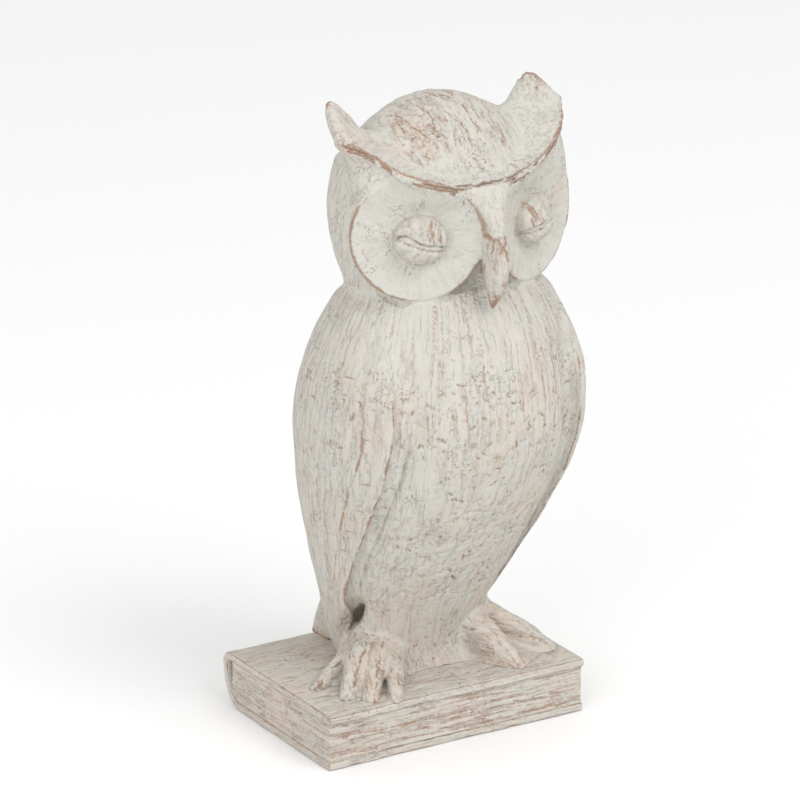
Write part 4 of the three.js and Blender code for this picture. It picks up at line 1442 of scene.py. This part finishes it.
def make_cover():
    curve = cover_curve()
    half = COVER_THICKNESS / 2
    length = along_curve(curve, np.zeros(1))[2]
    a = spaced(0, length, 0.95)
    b = np.linspace(-half, half, 9)
    c = spaced(-BOOK_HALF, BOOK_HALF, 1.6)
    points, quads = box_surface(a, b, c)
    points, nearness = rounded(points, 0.9)
    spot, normal, _ = along_curve(curve, points[:, 0])
    inward = half - points[:, 1]
    world = np.column_stack([points[:, 2], spot - normal * inward[:, None]])
    bend = 0.55 * noise(np.stack([world[:, 0], 0 * world[:, 0], np.round(world[:, 2] / 30)], 1), 26, 401)
    fore = smoothstep(FORE_EDGE + 14, FORE_EDGE, world[:, 1])
    world[:, 1] += fore * (0.35 + bend)
    cover = Slab(world, quads, nearness)
    x, y, z = world.T
    top = smoothstep(0.5, 0.9, cover.normals[:, 2]) * (z > 20)
    ends = smoothstep(0.6, 0.9, np.abs(cover.normals[:, 0]))
    cover.flow = np.stack([x / 9, y, z], 1)
    relief = 0.1 * noise(cover.flow, (1.6, 2.4, 4), 402) + 0.05 * noise(cover.flow, (1.2, 1.3, 4), 403)
    cover.depth += top * relief
    cover.stamp(top, y, x, strokes(
        411, 520, (-48, 46, -66, 66), (4, 30), 0, 5, 0.3, (0.4, 0.62), (0.12, 0.35), (0.2, 0.7), (0, 0.3)))
    cover.stamp(top, y, x, strokes(
        412, 120, (-46, 44, -66, 66), (4, 16), 0, 7, 0.4, (0.45, 0.7), (0.3, 0.5), (0.4, 0.9), (0, 0.5)))
    cover.stamp(top, y, x, squiggles(
        413, COVER_MARKS, 70, 9, (0.4, 0.6), (0.2, 0.5), (0.3, 0.9)))
    side = 1 - top
    cover.stamp(side * (1 - ends), z, x, strokes(
        414, 120, (0, 26, -66, 66), (6, 34), 0, 2, 0.2, (0.4, 0.6), (0.15, 0.35), (0.15, 0.6)))
    cover.stamp(ends, z, y, strokes(
        415, 90, (0, 26, -48, 48), (5, 24), 0, 4, 0.2, (0.4, 0.55), (0.15, 0.35), (0.15, 0.7)))
    place = points[:, 0]
    first, last = SPINE_START - FORE_EDGE, length - (SPINE_END - FORE_EDGE)
    shares = np.stack([place < first, (place >= first) & (place <= last), place > last]).astype(float)
    return cover.finish(("top_board", "spine", "bottom_board"), shares, 421)


def make_pages():
    a = spaced(PAGE_FRONT, PAGE_BACK, 1.7)
    b = np.linspace(PAGE_LOW, PAGE_HIGH, 44)
    c = spaced(-BOOK_HALF + 0.7, BOOK_HALF - 0.7, 1.7)
    points, quads = box_surface(a, b, c)
    points, nearness = rounded(points, 0.5)
    world = np.stack([points[:, 2], points[:, 0], points[:, 1]], 1)
    pages = Slab(world, quads, 0 * nearness)
    x, y, z = world.T
    fore = smoothstep(0.6, 0.9, -pages.normals[:, 1])
    ends = smoothstep(0.6, 0.9, np.abs(pages.normals[:, 0]))
    wave = 0.8 * noise(world, (24, 24, 9), 431)
    sheet = np.stack([x / 16, y / 12, z + wave], 1)
    pages.flow = np.stack([x / 12, y / 12, z], 1)
    relief = 0.22 * noise(sheet, (1.0, 1.0, 1.7), 432) + 0.1 * noise(sheet, (1.0, 1.0, 0.8), 433)
    pages.depth += (fore + ends) * relief
    groove = line(noise(sheet, 2.2, 434), 0.12) * smoothstep(-0.5, 0.3, noise(world, (20, 20, 5), 435))
    pages.carve(0.4 * groove * (fore + ends), brown=0.6 * groove, grey=0.3 * groove)
    pages.stamp(fore, z + wave, x, strokes(
        441, 150, (5, 21, -65, 65), (6, 40), 0, 1.2, 0.15, (0.32, 0.5), (0.15, 0.4), (0.2, 0.8), (0, 0.7)))
    pages.stamp(fore, z + wave, x, strokes(
        442, 40, (6, 19, -60, 60), (2, 8), 0, 6, 0.2, (0.35, 0.5), (0.2, 0.4), (0.5, 0.9)))
    pages.stamp(ends, z + wave, y, strokes(
        443, 130, (5, 21, -45, 42), (6, 34), 0, 1.5, 0.15, (0.32, 0.5), (0.15, 0.35), (0.2, 0.7), (0, 0.5)))
    shade = smoothstep(PAGE_HIGH - 1.6, PAGE_HIGH - 0.3, z) * fore
    pages.carve(0, grey=0.6 * shade)
    return pages.finish(("page_block",), np.ones((1, len(world))), 451)


WORN = ("beak", *LEFT_TOES, *RIGHT_TOES)
coats = {
    "whitewash": whitewash("whitewash"),
    "worn_whitewash": whitewash("worn_whitewash", 0.12),
    "page_edges": whitewash("page_edges", 0.04),
}


def dress(pieces):
    for name, piece in pieces.items():
        slot = "worn_whitewash" if name in WORN else "page_edges" if name == "page_block" else "whitewash"
        piece.data.materials.append(coats[slot])
        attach(piece, "root")
        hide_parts(name)


def make_owl():
    owl = carved_owl()
    layers = {
        "brown": np.clip(owl.brown, 0, 1),
        "grey": np.clip(owl.grey, 0, 1.3),
        "blush": np.clip(owl.blush, 0, 1),
        "flow": owl.flow,
        "calm": calm_seams(owl),
    }
    names, shares = part_shares(owl)
    normals = vertex_normals(owl.points, owl.quads)
    placed = owl.points + np.array([OWL_X, 0, 0])
    return split(names, shares, placed, normals, owl.quads, layers)


# ---- Camera and stage ---------------------------------------------------------------------

CAMERA_AZIMUTH, CAMERA_ELEVATION = math.radians(-31.3), math.radians(19.9)
CAMERA_DISTANCE = 2.676
CAMERA_TARGET = (-0.0018, 0, 0.1484)
CAMERA_LENS, SENSOR_WIDTH = 270, 36
LIGHT_TARGET = (0, 0, 0.15)
FLOOR_SIZE = 8


def aim(thing, direction):
    thing.rotation_mode = "QUATERNION"
    thing.rotation_quaternion = direction.to_track_quat("-Z", "Y")


def add_camera():
    data = bpy.data.cameras.new("camera")
    data.lens = CAMERA_LENS
    data.sensor_width = SENSOR_WIDTH
    data.clip_start = 0.1
    data.clip_end = 20
    camera = bpy.data.objects.new("camera", data)
    level = math.cos(CAMERA_ELEVATION)
    back = Vector((math.sin(CAMERA_AZIMUTH), -math.cos(CAMERA_AZIMUTH), 0)) * level
    back.z = math.sin(CAMERA_ELEVATION)
    camera.location = Vector(CAMERA_TARGET) + back * CAMERA_DISTANCE
    aim(camera, -back)
    bpy.context.scene.collection.objects.link(camera)
    bpy.context.scene.camera = camera


def add_light(name, place, size, energy):
    data = bpy.data.lights.new(name, "AREA")
    data.size = size
    data.energy = energy
    lamp = bpy.data.objects.new(name, data)
    lamp.location = place
    aim(lamp, Vector(LIGHT_TARGET) - Vector(place))
    bpy.context.scene.collection.objects.link(lamp)


def add_stage():
    bpy.ops.mesh.primitive_plane_add(size=FLOOR_SIZE)
    floor = bpy.context.object
    floor.name = "floor"
    paint = bpy.data.materials.new("floor")
    paint.use_nodes = True
    shader = paint.node_tree.nodes["Principled BSDF"]
    shader.inputs["Base Color"].default_value = (0.9, 0.9, 0.9, 1)
    shader.inputs["Roughness"].default_value = 0.9
    floor.data.materials.append(paint)
    world = bpy.data.worlds.new("world")
    world.use_nodes = True
    sky = world.node_tree.nodes["Background"]
    sky.inputs["Color"].default_value = (1, 1, 1, 1)
    sky.inputs["Strength"].default_value = 0.85
    bpy.context.scene.world = world
    add_light("key", (0.45, -1.6, 2.1), 1.3, 24)
    add_light("fill", (-1.6, -1.2, 1.1), 1.4, 13)
    bpy.context.scene.view_settings.view_transform = "Standard"


for make in (make_owl, make_cover, make_pages):
    dress(make())
add_camera()
add_stage()
